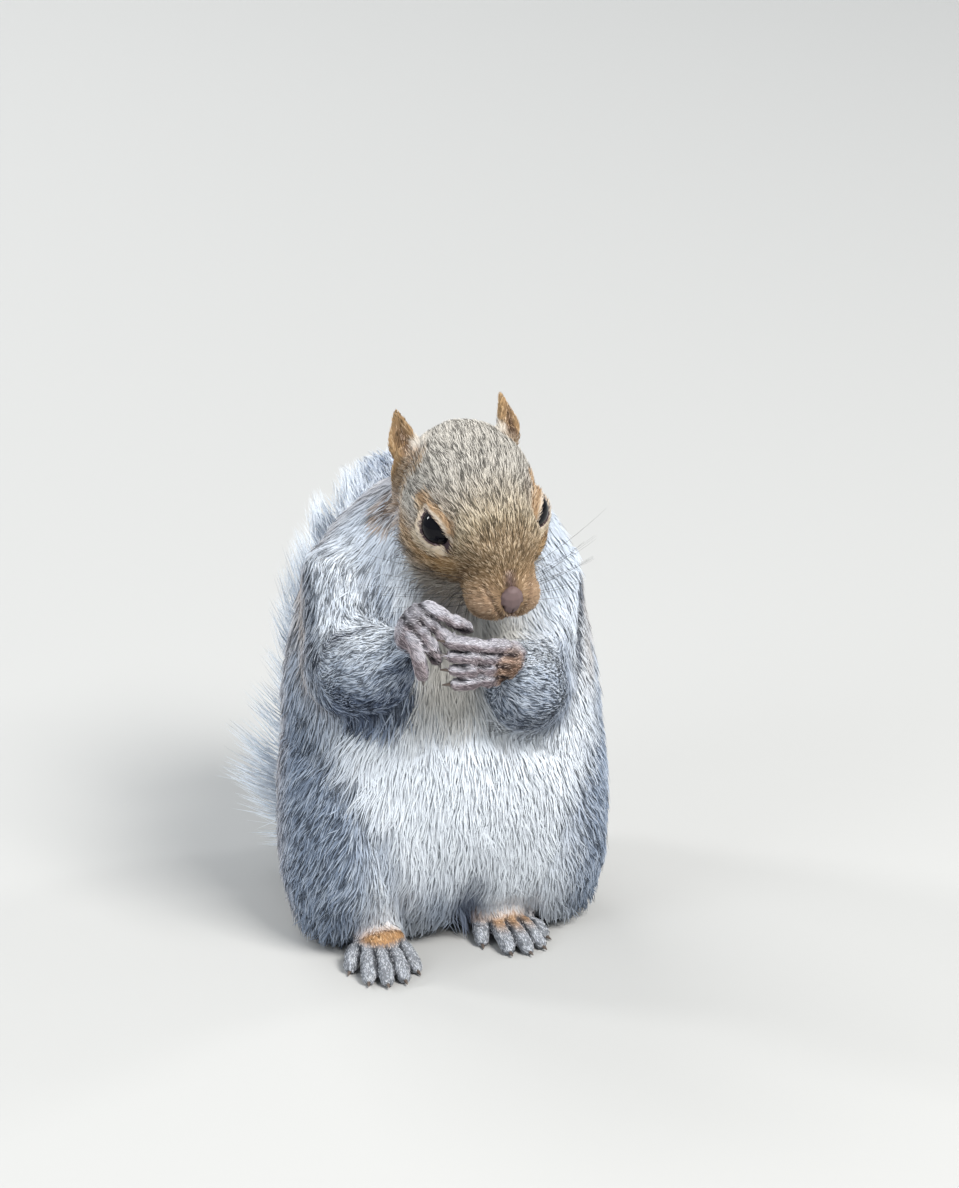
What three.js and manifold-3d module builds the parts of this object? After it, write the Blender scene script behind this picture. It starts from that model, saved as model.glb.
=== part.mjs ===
// A grey squirrel sitting up to eat, as a still, life-size model such as a museum shows.
// Millimetres, +Z up. The animal faces -Y, its left side is towards +X, and it sits on the floor at Z = 0.
// Every outline is the outside of the coat. The body is a few eggs and tapered bars blended into one
// smooth skin, which thin cuts then divide into head, neck, trunk and legs.
import * as THREE from 'three';
import { mergeVertices } from 'three/addons/utils/BufferGeometryUtils.js';
import Module from 'manifold-3d';

const wasm = await Module();
wasm.setup();

// ---- Driving dimensions ----
const GAP = 0.3; // between pieces that touch
const MID = -1; // the body's own middle plane, to the right of the head
const TRUNK_WIDTH = 100; // across the ribs and belly
const TRUNK_DEPTH = 90; // belly to back
const SHOULDER_HEIGHT = 122;
const HAUNCH_HEIGHT = 37; // the middle of the thigh
const EYE_MIDDLE = new THREE.Vector3(4, -38, 152.8); // half way between the eyes
const HEAD_PITCH = 30; // nose down, degrees
const HEAD_YAW = 10; // nose to the animal's left
const HEAD_ROLL = -4; // left eye the higher
const EYE_RADIUS = 6.3;
const EAR_LENGTH = 20.5;
const EAR_WIDTH = 10.5;
const TAIL_WIDTH = 100; // with its long side hairs
const TAIL_DEPTH = 26;
const DIGIT_RADIUS = 1.9;
const TOE_RADIUS = 2.5;

const v = (x, y, z) => new THREE.Vector3(x, y, z);
const [X, Y, Z] = [v(1, 0, 0), v(0, 1, 0), v(0, 0, 1)];
const radians = THREE.MathUtils.degToRad;

// ---- Fields: the distance to a shape's surface, negative inside it ----
function egg(centre, radii) {
  const whole = new THREE.Vector3();
  const square = new THREE.Vector3();
  return (p) => {
    whole.subVectors(p, centre).divide(radii);
    square.copy(whole).divide(radii);
    const reach = whole.length();
    return (reach * (reach - 1)) / Math.max(square.length(), 1e-6);
  };
}

// A round-ended bar that tapers from radius ra at a to rb at b.
function bar(a, b, ra, rb) {
  const axis = new THREE.Vector3().subVectors(b, a);
  const from = new THREE.Vector3();
  return (p) => {
    from.subVectors(p, a);
    const t = THREE.MathUtils.clamp(from.dot(axis) / axis.lengthSq(), 0, 1);
    return from.addScaledVector(axis, -t).length() - THREE.MathUtils.lerp(ra, rb, t);
  };
}

// The union of several fields, with fillets of about the given size.
function blended(softness, ...fields) {
  return (p) => fields.map((field) => field(p)).reduce((near, next) => {
    const overlap = Math.max(softness - Math.abs(near - next), 0);
    return Math.min(near, next) - (overlap * overlap) / (4 * softness);
  });
}

// A field drawn in its own frame, such as the head's.
function placed(frame, field) {
  const inverse = frame.clone().invert();
  const local = new THREE.Vector3();
  return (p) => field(local.copy(p).applyMatrix4(inverse));
}

// A field drawn on the +X side of its frame and repeated on the other side.
function mirrored(field) {
  const side = new THREE.Vector3();
  return (p) => field(side.set(Math.abs(p.x), p.y, p.z));
}

const grown = (field, by) => (p) => field(p) - by;

// ---- Solids ----
// The closed surface of a field inside a box, as one net of four-sided cells, each cut in two.
function netOf(field, box, cell) {
  const size = box.getSize(new THREE.Vector3());
  const [nx, ny, nz] = size.toArray().map((s) => Math.ceil(s / cell) + 2);
  const at = (i, j, k) => i + nx * (j + ny * k);
  const corner = (i, j, k, out) => out.set(i - 0.5, j - 0.5, k - 0.5).multiplyScalar(cell).add(box.min);
  const values = new Float32Array(nx * ny * nz);
  const p = new THREE.Vector3();
  const outside = (i, n) => i === 0 || i === n - 1;
  for (let k = 0; k < nz; k++) for (let j = 0; j < ny; j++) for (let i = 0; i < nx; i++) {
    const rim = outside(i, nx) || outside(j, ny) || outside(k, nz);
    const value = field(corner(i, j, k, p));
    values[at(i, j, k)] = rim ? Math.max(value, cell / 2) : value;
  }
  const points = [];
  const pointOf = new Int32Array(nx * ny * nz).fill(-1);
  const sum = new THREE.Vector3();
  const a = new THREE.Vector3();
  const b = new THREE.Vector3();
  const slope = new THREE.Vector3();
  const slopeAt = (q) => {
    const step = cell / 10;
    const value = (axis, by) => field(a.copy(q).addScaledVector(axis, by));
    const rise = (axis) => (value(axis, step) - value(axis, -step)) / (2 * step);
    return slope.set(rise(X), rise(Y), rise(Z));
  };
  for (let k = 0; k < nz - 1; k++) for (let j = 0; j < ny - 1; j++) for (let i = 0; i < nx - 1; i++) {
    let crossings = 0;
    sum.set(0, 0, 0);
    for (let n = 0; n < 8; n++) for (const bit of [1, 2, 4]) {
      if (n & bit) continue;
      const [c, d] = [n, n | bit].map((m) => [i + (m & 1), j + ((m >> 1) & 1), k + (m >> 2)]);
      const [va, vb] = [values[at(...c)], values[at(...d)]];
      if (va < 0 === vb < 0) continue;
      corner(...c, a).lerp(corner(...d, b), va / (va - vb));
      sum.add(a);
      crossings += 1;
    }
    if (!crossings) continue;
    sum.divideScalar(crossings);
    const inner = ![i, j, k].some((n, axis) => n < 1 || n > [nx, ny, nz][axis] - 3);
    if (inner) {
      slopeAt(sum);
      const move = THREE.MathUtils.clamp(-field(sum) / slope.lengthSq(), -cell / 2, cell / 2);
      sum.addScaledVector(slope, move);
    }
    pointOf[at(i, j, k)] = points.length;
    points.push(sum.clone());
  }
  const faces = [];
  const quad = (w, x, y, z, turned) => {
    const ring = turned ? [w, x, y, z] : [z, y, x, w];
    const [p0, p1, p2, p3] = ring.map((n) => points[n]);
    const [q, r, s, t] = p0.distanceTo(p2) < p1.distanceTo(p3) ? ring : [...ring.slice(1), ring[0]];
    faces.push(q, r, s, q, s, t);
  };
  for (let k = 0; k < nz - 1; k++) for (let j = 0; j < ny - 1; j++) for (let i = 0; i < nx - 1; i++) {
    const inside = values[at(i, j, k)] < 0;
    const cellPoint = (x, y, z) => pointOf[at(i - x, j - y, k - z)];
    if (inside !== values[at(i + 1, j, k)] < 0) {
      quad(cellPoint(0, 1, 1), cellPoint(0, 0, 1), cellPoint(0, 0, 0), cellPoint(0, 1, 0), inside);
    }
    if (inside !== values[at(i, j + 1, k)] < 0) {
      quad(cellPoint(1, 0, 1), cellPoint(1, 0, 0), cellPoint(0, 0, 0), cellPoint(0, 0, 1), inside);
    }
    if (inside !== values[at(i, j, k + 1)] < 0) {
      quad(cellPoint(1, 1, 0), cellPoint(0, 1, 0), cellPoint(0, 0, 0), cellPoint(1, 0, 0), inside);
    }
  }
  const geometry = new THREE.BufferGeometry();
  geometry.setFromPoints(points);
  return geometry.setIndex(faces);
}

function solid(geometry) {
  const bare = geometry.clone();
  bare.deleteAttribute('normal');
  bare.deleteAttribute('uv');
  const merged = mergeVertices(bare, 1e-4);
  return new wasm.Manifold(new wasm.Mesh({
    numProp: 3,
    vertProperties: new Float32Array(merged.attributes.position.array),
    triVerts: new Uint32Array(merged.index.array),
  }));
}

const solidOf = (field, box, cell) => solid(netOf(field, box, cell));

function geometryOf(manifold) {
  const mesh = manifold.getMesh();
  const geometry = new THREE.BufferGeometry();
  geometry.setAttribute('position', new THREE.BufferAttribute(mesh.vertProperties, 3));
  geometry.setIndex(new THREE.BufferAttribute(mesh.triVerts, 1));
  geometry.computeVertexNormals();
  return geometry;
}

// A round-ended limb along a smooth line. Its section is an oval, wide along `across`.
function limb(points, radii, { sides = 8, steps = 6, flat = 1, across = v(1, 0, 0) } = {}) {
  const line = new THREE.CatmullRomCurve3(points);
  const rings = [];
  const radiusAt = (t) => {
    const place = t * (radii.length - 1);
    const before = Math.min(Math.floor(place), radii.length - 2);
    return THREE.MathUtils.lerp(radii[before], radii[before + 1], place - before);
  };
  const addRing = (t, tilt) => {
    const along = line.getTangent(t);
    const thick = new THREE.Vector3().crossVectors(along, across).normalize();
    const wide = new THREE.Vector3().crossVectors(thick, along);
    const radius = radiusAt(t);
    const middle = line.getPoint(t).addScaledVector(along, radius * flat * Math.sin(tilt));
    const narrowed = radius * Math.cos(tilt);
    rings.push(Array.from({ length: sides }, (_, s) => {
      const turn = (2 * Math.PI * s) / sides;
      return middle.clone()
        .addScaledVector(wide, narrowed * Math.cos(turn))
        .addScaledVector(thick, narrowed * flat * Math.sin(turn));
    }));
  };
  const cap = radians(55);
  addRing(0, -cap);
  for (let s = 0; s <= steps; s++) addRing(s / steps, 0);
  addRing(1, cap);
  const flatRings = rings.flat().flatMap((p) => p.toArray());
  const faces = [];
  for (let r = 0; r < rings.length - 1; r++) for (let s = 0; s < sides; s++) {
    const [a, b] = [r * sides + s, r * sides + ((s + 1) % sides)];
    faces.push(a, b, b + sides, a, b + sides, a + sides);
  }
  const last = (rings.length - 1) * sides;
  for (let s = 1; s < sides - 1; s++) faces.push(0, s + 1, s, last, last + s, last + s + 1);
  const geometry = new THREE.BufferGeometry();
  geometry.setAttribute('position', new THREE.Float32BufferAttribute(flatRings, 3));
  geometry.setIndex(faces);
  const made = solid(geometry);
  return made.volume() > 0 ? made : solid(geometry.setIndex(faces.slice().reverse()));
}

function ball(centre, radii, across = 24, down = 16) {
  const geometry = new THREE.SphereGeometry(1, across, down).rotateX(Math.PI / 2);
  return solid(geometry.scale(radii.x, radii.y, radii.z).translate(centre.x, centre.y, centre.z));
}

// All space on the side of a plane that its normal points to, as a big block.
function beyond({ point, normal }, inset = GAP / 2) {
  const size = 600;
  const turn = new THREE.Quaternion().setFromUnitVectors(v(0, 0, 1), normal.clone().normalize());
  const geometry = new THREE.BoxGeometry(size, size, size).translate(0, 0, size / 2 + inset);
  return solid(geometry.applyQuaternion(turn).translate(point.x, point.y, point.z));
}

const joined = (...solids) => solids.reduce((whole, next) => whole.add(next));
const biggest = (manifold) => manifold.decompose().sort((a, b) => b.volume() - a.volume())[0];
const boxAround = (min, max) => new THREE.Box3(min, max);
const above = beyond({ point: v(0, 0, 0), normal: Z }, 0);

// ---- Head, drawn in its own frame: nose towards -Y, crown up, eyes on the X axis ----
const headFrame = new THREE.Matrix4()
  .makeRotationFromEuler(new THREE.Euler(radians(HEAD_PITCH), radians(HEAD_ROLL), radians(HEAD_YAW), 'ZXY'))
  .setPosition(EYE_MIDDLE);
const onHead = (x, y, z) => v(x, y, z).applyMatrix4(headFrame);
const headField = placed(headFrame, mirrored(blended(
  6,
  egg(v(0, 13, 2), v(19, 21, 17)), // cranium
  egg(v(0, -3, 1.5), v(16.5, 19, 12.5)), // brow
  egg(v(10, 4, -8), v(13, 17, 13)), // cheek
  bar(v(0, -9, -3), v(0, -23.5, -8), 11, 7.2), // muzzle
  egg(v(5.2, -20.5, -12), v(6.6, 8, 6.4)), // whisker pad
  bar(v(0, -2, -16), v(0, -15, -17), 8.5, 4.6), // lower jaw
)));

// ---- Trunk, neck and thighs ----
const belly = egg(v(MID, 2, 60), v(TRUNK_WIDTH / 2, TRUNK_DEPTH / 2, 49));
const ribs = egg(v(MID - 1, 6, 90), v(TRUNK_WIDTH / 2, TRUNK_DEPTH / 2 - 3, 44));
const shoulders = egg(v(0, 4, SHOULDER_HEIGHT), v(41, 34, 32));
const rump = egg(v(MID, 22, 40), v(42, 28, 33));
const groin = egg(v(MID - 2, -14, 28), v(22, 16, 22));
const neck = bar(v(2, -4, 132), onHead(0, 20, -5), 28, 19);
const thigh = (side) => egg(v(MID + side * 34, side * 4 + 1, HAUNCH_HEIGHT), v(20.5, 37, 37.5));
const skirt = (side) => egg(v(MID + side * 36, side * 4 + 6, 20), v(18.5, 30, 20.5)); // fur on the floor
const shin = (side, toes) => bar(
  v(MID + side * 27, toes.y + 18, 34), v(MID + side * 24, toes.y + 24, 8), 13, 9,
);
const RIGHT = -1;
const LEFT = 1;
const ballOfFoot = { [RIGHT]: v(-29, -31, 5), [LEFT]: v(15, -15, 5) };
const body = blended(
  14,
  blended(22, belly, ribs, shoulders, rump),
  groin, neck,
  blended(8, thigh(RIGHT), skirt(RIGHT)),
  blended(8, thigh(LEFT), skirt(LEFT)),
  shin(RIGHT, ballOfFoot[RIGHT]), shin(LEFT, ballOfFoot[LEFT]),
);
const whole = blended(9, headField, body);

const eye = (side) => onHead(side * 15, -2, -0.5);
const eyeball = (side, extra = 0) => ball(eye(side), v(1, 1, 1).multiplyScalar(EYE_RADIUS + extra), 12, 7);
const noseShape = (extra = 0) => ball(v(0, 0, 0), v(3.4, 3, 4.6).addScalar(extra), 9, 6)
  .transform(new THREE.Matrix4().makeTranslation(0, -28.6, -6.5).premultiply(headFrame).toArray());
const headCut = { point: v(3, -20, 150), normal: v(0.1, -0.85, 0.5) };
const neckCut = { point: v(1, -6, 134), normal: v(0, -0.45, 0.89) };
const flipped = ({ point, normal }) => ({ point, normal: normal.clone().negate() });

// One net for each size of detail: fine on the head, coarse on the trunk. The grown ones are what the
// ears, limbs and tail are trimmed by, so that they meet the body with the same small gap.
const CELL = { head: 4.8, neck: 9, body: 12, arm: 8 };
const headBox = boxAround(onHead(0, 0, 0).addScalar(-48), onHead(0, 0, 0).addScalar(48));
const neckBox = boxAround(v(-50, -60, 90), v(55, 50, 185));
const bodyBox = boxAround(v(-75, -70, -20), v(75, 75, 165));
const portions = (growth, inset) => {
  const between = (net, ...cuts) => cuts.reduce((piece, cut) => piece.intersect(beyond(cut, inset)), net);
  return {
    head: between(solidOf(grown(whole, growth), headBox, CELL.head), headCut),
    neck: between(solidOf(grown(whole, growth), neckBox, CELL.neck), flipped(headCut), neckCut),
    body: between(solidOf(grown(body, growth), bodyBox, CELL.body), flipped(neckCut)).intersect(above),
  };
};
const flesh = portions(0, GAP / 2);
const sleeve = joined(...Object.values(portions(GAP, -GAP)));

const head = biggest(flesh.head
  .subtract(eyeball(LEFT, GAP))
  .subtract(eyeball(RIGHT, GAP))
  .subtract(noseShape(GAP)));

const haunchCutter = (side, extra) => ball(
  v(MID + side * 45, side * 4 + 2, 28), v(28, 48, 46).addScalar(extra), 16, 10,
);
const trunk = biggest(flesh.body
  .subtract(haunchCutter(LEFT, GAP / 2))
  .subtract(haunchCutter(RIGHT, GAP / 2)));
const haunch = (side) => biggest(flesh.body.intersect(haunchCutter(side, -GAP / 2)));

// ---- Arms: the elbow is tucked in beside the ribs and the forearm comes up to the mouth ----
const armBox = boxAround(v(-75, -80, 70), v(70, 40, 165));
const armJoints = {
  [RIGHT]: [v(-32, -3, 121), v(-38, -25, 101), v(-33, -41, 106), v(-24, -56, 120)],
  [LEFT]: [v(27, -4, 119), v(19.5, -27, 90), v(16, -42, 97), v(10, -55, 111)],
};

function arm(side) {
  const [shoulder, elbow, middle, wrist] = armJoints[side];
  const field = blended(
    8,
    bar(shoulder, elbow, 18, 14),
    bar(elbow, middle, 14, 12.5),
    bar(middle, wrist, 12.5, 6.5),
  );
  const limbs = solidOf(field, armBox, CELL.arm).subtract(sleeve);
  const fold = { point: elbow.clone().lerp(middle, 0.3), normal: middle.clone().sub(elbow) };
  const end = { point: wrist, normal: wrist.clone().sub(middle) };
  return {
    upper: biggest(limbs.intersect(beyond(flipped(fold)))),
    fore: biggest(limbs.intersect(beyond(fold)).intersect(beyond(flipped(end)))),
    end,
  };
}
const arms = { [LEFT]: arm(LEFT), [RIGHT]: arm(RIGHT) };

// ---- Forepaws: a small palm and four curled digits, each with its own claw ----
const CLAW_LENGTH = 4.6;
const CLAW_RADIUS = 0.8;
const paws = {
  [RIGHT]: {
    knuckles: [v(-18.6, -60.5, 133), v(-26, -60.5, 127)],
    tips: [v(-6.5, -60, 125), v(-21.5, -64, 112)],
    across: v(-0.6, 0, -0.8),
  },
  [LEFT]: {
    knuckles: [v(6.5, -60, 118), v(3, -60, 107)],
    tips: [v(-12.5, -66.5, 123), v(-10.5, -65.5, 108.5)],
    across: v(-0.2, 0, -1),
  },
};

// A digit from knuckle to tip, and the claw that its tip carries, bent towards `bend`.
function digit(points, radius, shape, bend) {
  const radii = [1.15, 1, 0.82].map((share) => share * radius);
  const tip = points.at(-1);
  const along = tip.clone().sub(points.at(-2)).normalize();
  const clawLine = [0, 0.5, 0.95].map((t) => (
    tip.clone().addScaledVector(along, CLAW_LENGTH * t).addScaledVector(bend, CLAW_LENGTH * 0.4 * t * t)
  ));
  const clawRadii = [1, 0.8, 0.3].map((share) => share * CLAW_RADIUS);
  return {
    finger: limb(points, radii, shape),
    claw: biggest(limb(clawLine, clawRadii, { sides: 4, steps: 2 })
      .subtract(limb(points, radii.map((r) => r + GAP), shape))),
  };
}

function forepaw(side) {
  const { knuckles, tips, across } = paws[side];
  const wrist = armJoints[side].at(-1);
  const centre = knuckles[0].clone().lerp(knuckles[1], 0.5);
  const palm = limb(
    [wrist, wrist.clone().lerp(centre, 0.6), centre], [5.6, 6, 5.4],
    { flat: 0.75, across, steps: 2 },
  );
  const digits = [0, 1, 2, 3].map((n) => {
    const base = knuckles[0].clone().lerp(knuckles[1], n / 3).lerp(centre, 0.12);
    const tip = tips[0].clone().lerp(tips[1], n / 3);
    const bent = base.clone().lerp(tip, 0.45).add(v(0, -3.6, 1));
    return digit([base, bent, tip], DIGIT_RADIUS, { sides: 5, steps: 3 }, v(0, 1, -0.3));
  });
  const flesh = joined(palm, ...digits.map(({ finger }) => finger));
  return {
    paw: biggest(flesh.intersect(beyond(arms[side].end)).subtract(sleeve)),
    claws: digits.map(({ claw }) => claw),
  };
}

// ---- Hind feet: a long sole and five spread toes, flat on the floor ----
const TOES = [
  { spread: -1, length: 11, back: 7 },
  { spread: -0.55, length: 15.5, back: 1 },
  { spread: 0, length: 17, back: 0 },
  { spread: 0.55, length: 15.5, back: 1 },
  { spread: 1, length: 12, back: 5 },
];
const FOOT_HALF_WIDTH = 8.2;

function hindFoot(side) {
  const front = ballOfFoot[side];
  const outward = radians(side === LEFT ? 14 : -4);
  const ahead = v(Math.sin(outward), -Math.cos(outward), 0);
  const sideways = v(Math.cos(outward), Math.sin(outward), 0);
  const heel = front.clone().addScaledVector(ahead, -30);
  const sole = limb(
    [heel, front.clone().lerp(heel, 0.45).setZ(7), front.clone().setZ(6)], [6, 7.5, 9],
    { flat: 0.72, sides: 9, across: sideways, steps: 3 },
  );
  const toes = TOES.map(({ spread, length, back }) => {
    const base = front.clone().addScaledVector(sideways, spread * FOOT_HALF_WIDTH * 0.75)
      .addScaledVector(ahead, 3 - back).setZ(5);
    const bent = base.clone().addScaledVector(ahead, length * 0.5)
      .addScaledVector(sideways, spread * 2.6).setZ(4.6);
    const tip = bent.clone().addScaledVector(ahead, length * 0.42)
      .addScaledVector(sideways, spread * 1.6).setZ(2);
    return digit([base, bent, tip], TOE_RADIUS, { sides: 6, steps: 3 }, v(0, 0, 0.4));
  });
  const flesh = joined(sole, ...toes.map(({ finger }) => finger));
  return {
    paw: biggest(flesh.intersect(above).subtract(sleeve)),
    claws: toes.map(({ claw }) => claw),
  };
}

// ---- Ears: a thin leaf, cupped towards the front and outside ----
function ear(side) {
  const leaf = new THREE.SphereGeometry(1, 12, 9);
  const place = leaf.attributes.position;
  for (let n = 0; n < place.count; n++) {
    const [x, y, z] = [place.getX(n), place.getY(n), place.getZ(n)];
    const taper = 1 - 0.42 * Math.max(y, 0);
    const cup = 0.16 * EAR_WIDTH * x * x;
    place.setXYZ(n, (x * taper * EAR_WIDTH) / 2, (y * EAR_LENGTH) / 2, z * 1.5 + cup);
  }
  const stance = new THREE.Matrix4().makeRotationFromEuler(
    new THREE.Euler(radians(-58), radians(side * 6), radians(side * 35), 'YXZ'),
  );
  const shape = leaf.rotateX(Math.PI / 2).translate(0, 0, EAR_LENGTH / 2 - 4).applyMatrix4(stance);
  const root = v(side * 16.8, 26, 3.8);
  return biggest(solid(shape.translate(root.x, root.y, root.z).applyMatrix4(headFrame)).subtract(sleeve));
}

// ---- Tail: back along the floor, then up against the back, in four lengths ----
const tailLine = [
  v(MID - 2, 36, 16), v(MID - 4, 54, 13), v(MID - 6, 71, 19), v(MID - 6, 77, 40), v(MID - 6, 72, 72),
  v(MID - 5, 65, 100), v(MID - 3, 56, 124), v(MID - 1, 49, 141),
];
const tailShares = [0.78, 0.98, 1, 0.97, 0.74, 0.66, 0.52, 0.34];
const tailHalfWidths = tailShares.map((share) => (share * TAIL_WIDTH) / 2);
const tailCurve = new THREE.CatmullRomCurve3(tailLine);
const tailWhole = limb(tailLine, tailHalfWidths, { sides: 14, steps: 12, flat: TAIL_DEPTH / TAIL_WIDTH })
  .intersect(above)
  .subtract(sleeve);
const tailCutAt = (t) => ({ point: tailCurve.getPoint(t), normal: tailCurve.getTangent(t) });
const tailCuts = [0.32, 0.55, 0.79].map(tailCutAt);

function tailLength(n) {
  let piece = tailWhole;
  if (n > 0) piece = piece.intersect(beyond(tailCuts[n - 1]));
  if (n < tailCuts.length) piece = piece.intersect(beyond(flipped(tailCuts[n])));
  return biggest(piece);
}

// ---- Materials ----
const finish = (color, roughness = 0.9) => new THREE.MeshStandardMaterial({ color, roughness, metalness: 0 });
const greyCoat = finish(0x8d8f96);
const paleCoat = finish(0xcfd2d6);
const brownCoat = finish(0x9a8263);
const pawCoat = finish(0xa9a6a6);
const earSkin = finish(0xb08a63);
const eyeGloss = finish(0x0c0a0b, 0.08);
const noseLeather = finish(0x7a6260, 0.5);
const clawHorn = finish(0x3a3330, 0.4);

// ---- The squirrel ----
const squirrel = new THREE.Group();
function add(name, manifold, material) {
  const mesh = new THREE.Mesh(geometryOf(manifold), material);
  mesh.name = name;
  squirrel.add(mesh);
}

add('head', head, brownCoat);
add('nose', noseShape(), noseLeather);
add('neck', biggest(flesh.neck), greyCoat);
add('trunk', trunk, paleCoat);
for (const [name, side] of [['left', LEFT], ['right', RIGHT]]) {
  add(`eye_${name}`, eyeball(side), eyeGloss);
  add(`ear_${name}`, ear(side), earSkin);
  add(`upper_arm_${name}`, arms[side].upper, greyCoat);
  add(`forearm_${name}`, arms[side].fore, greyCoat);
  add(`haunch_${name}`, haunch(side), greyCoat);
  for (const [part, made] of [['forepaw', forepaw(side)], ['hind_foot', hindFoot(side)]]) {
    add(`${part}_${name}`, made.paw, pawCoat);
    made.claws.forEach((claw, n) => add(`${part}_${name}_claw_${n + 1}`, claw, clawHorn));
  }
}
['tail_base', 'tail_lower', 'tail_upper', 'tail_tip'].forEach((name, n) => {
  add(name, tailLength(n), paleCoat);
});

// The origin is on the floor, under the middle of the animal.
const reach = new THREE.Box3().setFromObject(squirrel);
const middle = reach.getCenter(new THREE.Vector3());
squirrel.position.set(-middle.x, -middle.y, -reach.min.z);

export default squirrel;
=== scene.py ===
# %% [markdown]
# # A grey squirrel, sitting up and eating
#
# A furry animal is three things, one over the other: solid flesh, a skin that runs over all of it
# without a seam, and a coat that hides most of the skin. The solids arrive finished, as the frame.
# This lesson grows the skin and the coat over them. Particle hair would be the usual way to a coat,
# but it exists only while Blender renders, so every tuft here is a small closed mesh of its own.
#
# The first cell loads the frame.

# %% The frame
import math

import bpy
import numpy as np
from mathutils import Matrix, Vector
from mathutils.bvhtree import BVHTree
from mathutils.kdtree import KDTree


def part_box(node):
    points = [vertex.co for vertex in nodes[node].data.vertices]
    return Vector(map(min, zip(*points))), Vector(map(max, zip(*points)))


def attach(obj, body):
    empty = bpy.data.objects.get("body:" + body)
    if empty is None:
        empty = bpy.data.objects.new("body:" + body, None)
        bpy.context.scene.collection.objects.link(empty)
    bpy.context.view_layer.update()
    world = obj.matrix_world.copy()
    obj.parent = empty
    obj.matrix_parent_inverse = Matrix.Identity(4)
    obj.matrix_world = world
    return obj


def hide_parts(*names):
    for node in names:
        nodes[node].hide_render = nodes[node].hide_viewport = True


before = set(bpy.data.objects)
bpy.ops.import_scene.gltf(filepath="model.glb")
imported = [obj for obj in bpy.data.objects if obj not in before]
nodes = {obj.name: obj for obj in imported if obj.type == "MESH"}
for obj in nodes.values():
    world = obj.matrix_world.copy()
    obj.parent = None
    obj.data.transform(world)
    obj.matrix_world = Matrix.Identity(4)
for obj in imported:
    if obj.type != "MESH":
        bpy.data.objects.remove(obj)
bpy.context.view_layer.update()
chance = np.random.default_rng(11)
MM = 0.001
print(f"{len(nodes)} solids in the frame")

# %% [markdown]
# ## The camera, the lights and the floor
#
# The animal is looked at from a little above and from its right front. A long lens, far away, keeps
# the head, which is nearest to it, from looking too large. Big area lights stand in for a bright
# overcast sky: their size is what makes the shadows in the fur soft.

# %% Camera
CAMERA_TURN = math.radians(-12)
CAMERA_RISE = math.radians(20)
CAMERA_DISTANCE = 2.2
VIEW_HEIGHT = 0.392
towards_camera = Vector((
    math.sin(CAMERA_TURN) * math.cos(CAMERA_RISE),
    -math.cos(CAMERA_TURN) * math.cos(CAMERA_RISE),
    math.sin(CAMERA_RISE),
))
looked_at = Vector((18.9, 23.6, 101.1)) * MM
camera_data = bpy.data.cameras.new("camera")
camera_data.lens = camera_data.sensor_width * CAMERA_DISTANCE / VIEW_HEIGHT
camera_data.clip_end = 20
camera = bpy.data.objects.new("camera", camera_data)
camera.location = looked_at + towards_camera * CAMERA_DISTANCE
camera.rotation_euler = towards_camera.to_track_quat("Z", "Y").to_euler()
bpy.context.collection.objects.link(camera)
bpy.context.scene.camera = camera
bpy.context.scene.view_settings.view_transform = "Standard"
print(f"lens {camera_data.lens:.0f} mm")

# %% Lights and floor
middle = Vector((0, 0, 90)) * MM


def area_light(name, place, size, power, tint=(1, 1, 1), in_eyes=True):
    """A square light that looks at the middle of the animal. place is in metres. With in_eyes off
    it lights the coat but leaves no square of its own in the wet eyes."""
    data = bpy.data.lights.new(name, "AREA")
    data.size = size
    data.energy = power
    data.color = tint
    light = bpy.data.objects.new(name, data)
    light.location = place
    light.rotation_euler = (Vector(place) - middle).to_track_quat("Z", "Y").to_euler()
    light.visible_glossy = in_eyes
    bpy.context.collection.objects.link(light)


area_light("key", (0.6, -1.3, 1.6), 0.8, 56, (1, 0.98, 0.95))
area_light("fill", (-1.5, -1.0, 1.0), 1.0, 12, (0.94, 0.97, 1), in_eyes=False)
area_light("back", (-0.5, 1.5, 1.2), 1.2, 18, in_eyes=False)
area_light("catch_right", (-1.48, 0.9, 1.10), 0.32, 12)
area_light("catch_left", (1.64, 0.5, 1.12), 0.32, 7)
world = bpy.data.worlds.new("studio")
world.use_nodes = True
world.node_tree.nodes["Background"].inputs["Color"].default_value = (0.86, 0.93, 1.0, 1)
world.node_tree.nodes["Background"].inputs["Strength"].default_value = 0.42
bpy.context.scene.world = world
bpy.ops.mesh.primitive_plane_add(size=12)
floor = bpy.context.object
floor.name = "floor"


def material(name, colour, roughness, **sockets):
    """A Principled material. The sockets are named as they are in Blender."""
    made = bpy.data.materials.new(name)
    made.use_nodes = True
    shader = made.node_tree.nodes["Principled BSDF"]
    shader.inputs["Base Color"].default_value = (*colour, 1)
    shader.inputs["Roughness"].default_value = roughness
    for socket, value in sockets.items():
        shader.inputs[socket.replace("_", " ")].default_value = value
    return made


floor.data.materials.append(material("floor_paint", (0.47, 0.47, 0.46), 0.9))
print(f"{len(bpy.data.lights)} lights and a floor")

# %% [markdown]
# ## Landmarks
#
# Nothing is placed by eye. The eyes and the nose of the frame say where the head points, and where
# two solids meet there is a joint of the skeleton: the coat's direction follows those joints later.

# %% Landmarks


def corners(name):
    """The corners of a solid, in millimetres."""
    mesh = nodes[name].data
    flat = np.empty(len(mesh.vertices) * 3, np.float32)
    mesh.vertices.foreach_get("co", flat)
    turn = np.array(nodes[name].matrix_world)
    return (flat.reshape(-1, 3) @ turn[:3, :3].T + turn[:3, 3]) / MM


def middle_of(name):
    """The middle of a solid's box, in millimetres."""
    low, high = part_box(name)
    return np.array((low + high) / 2) / MM


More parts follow.
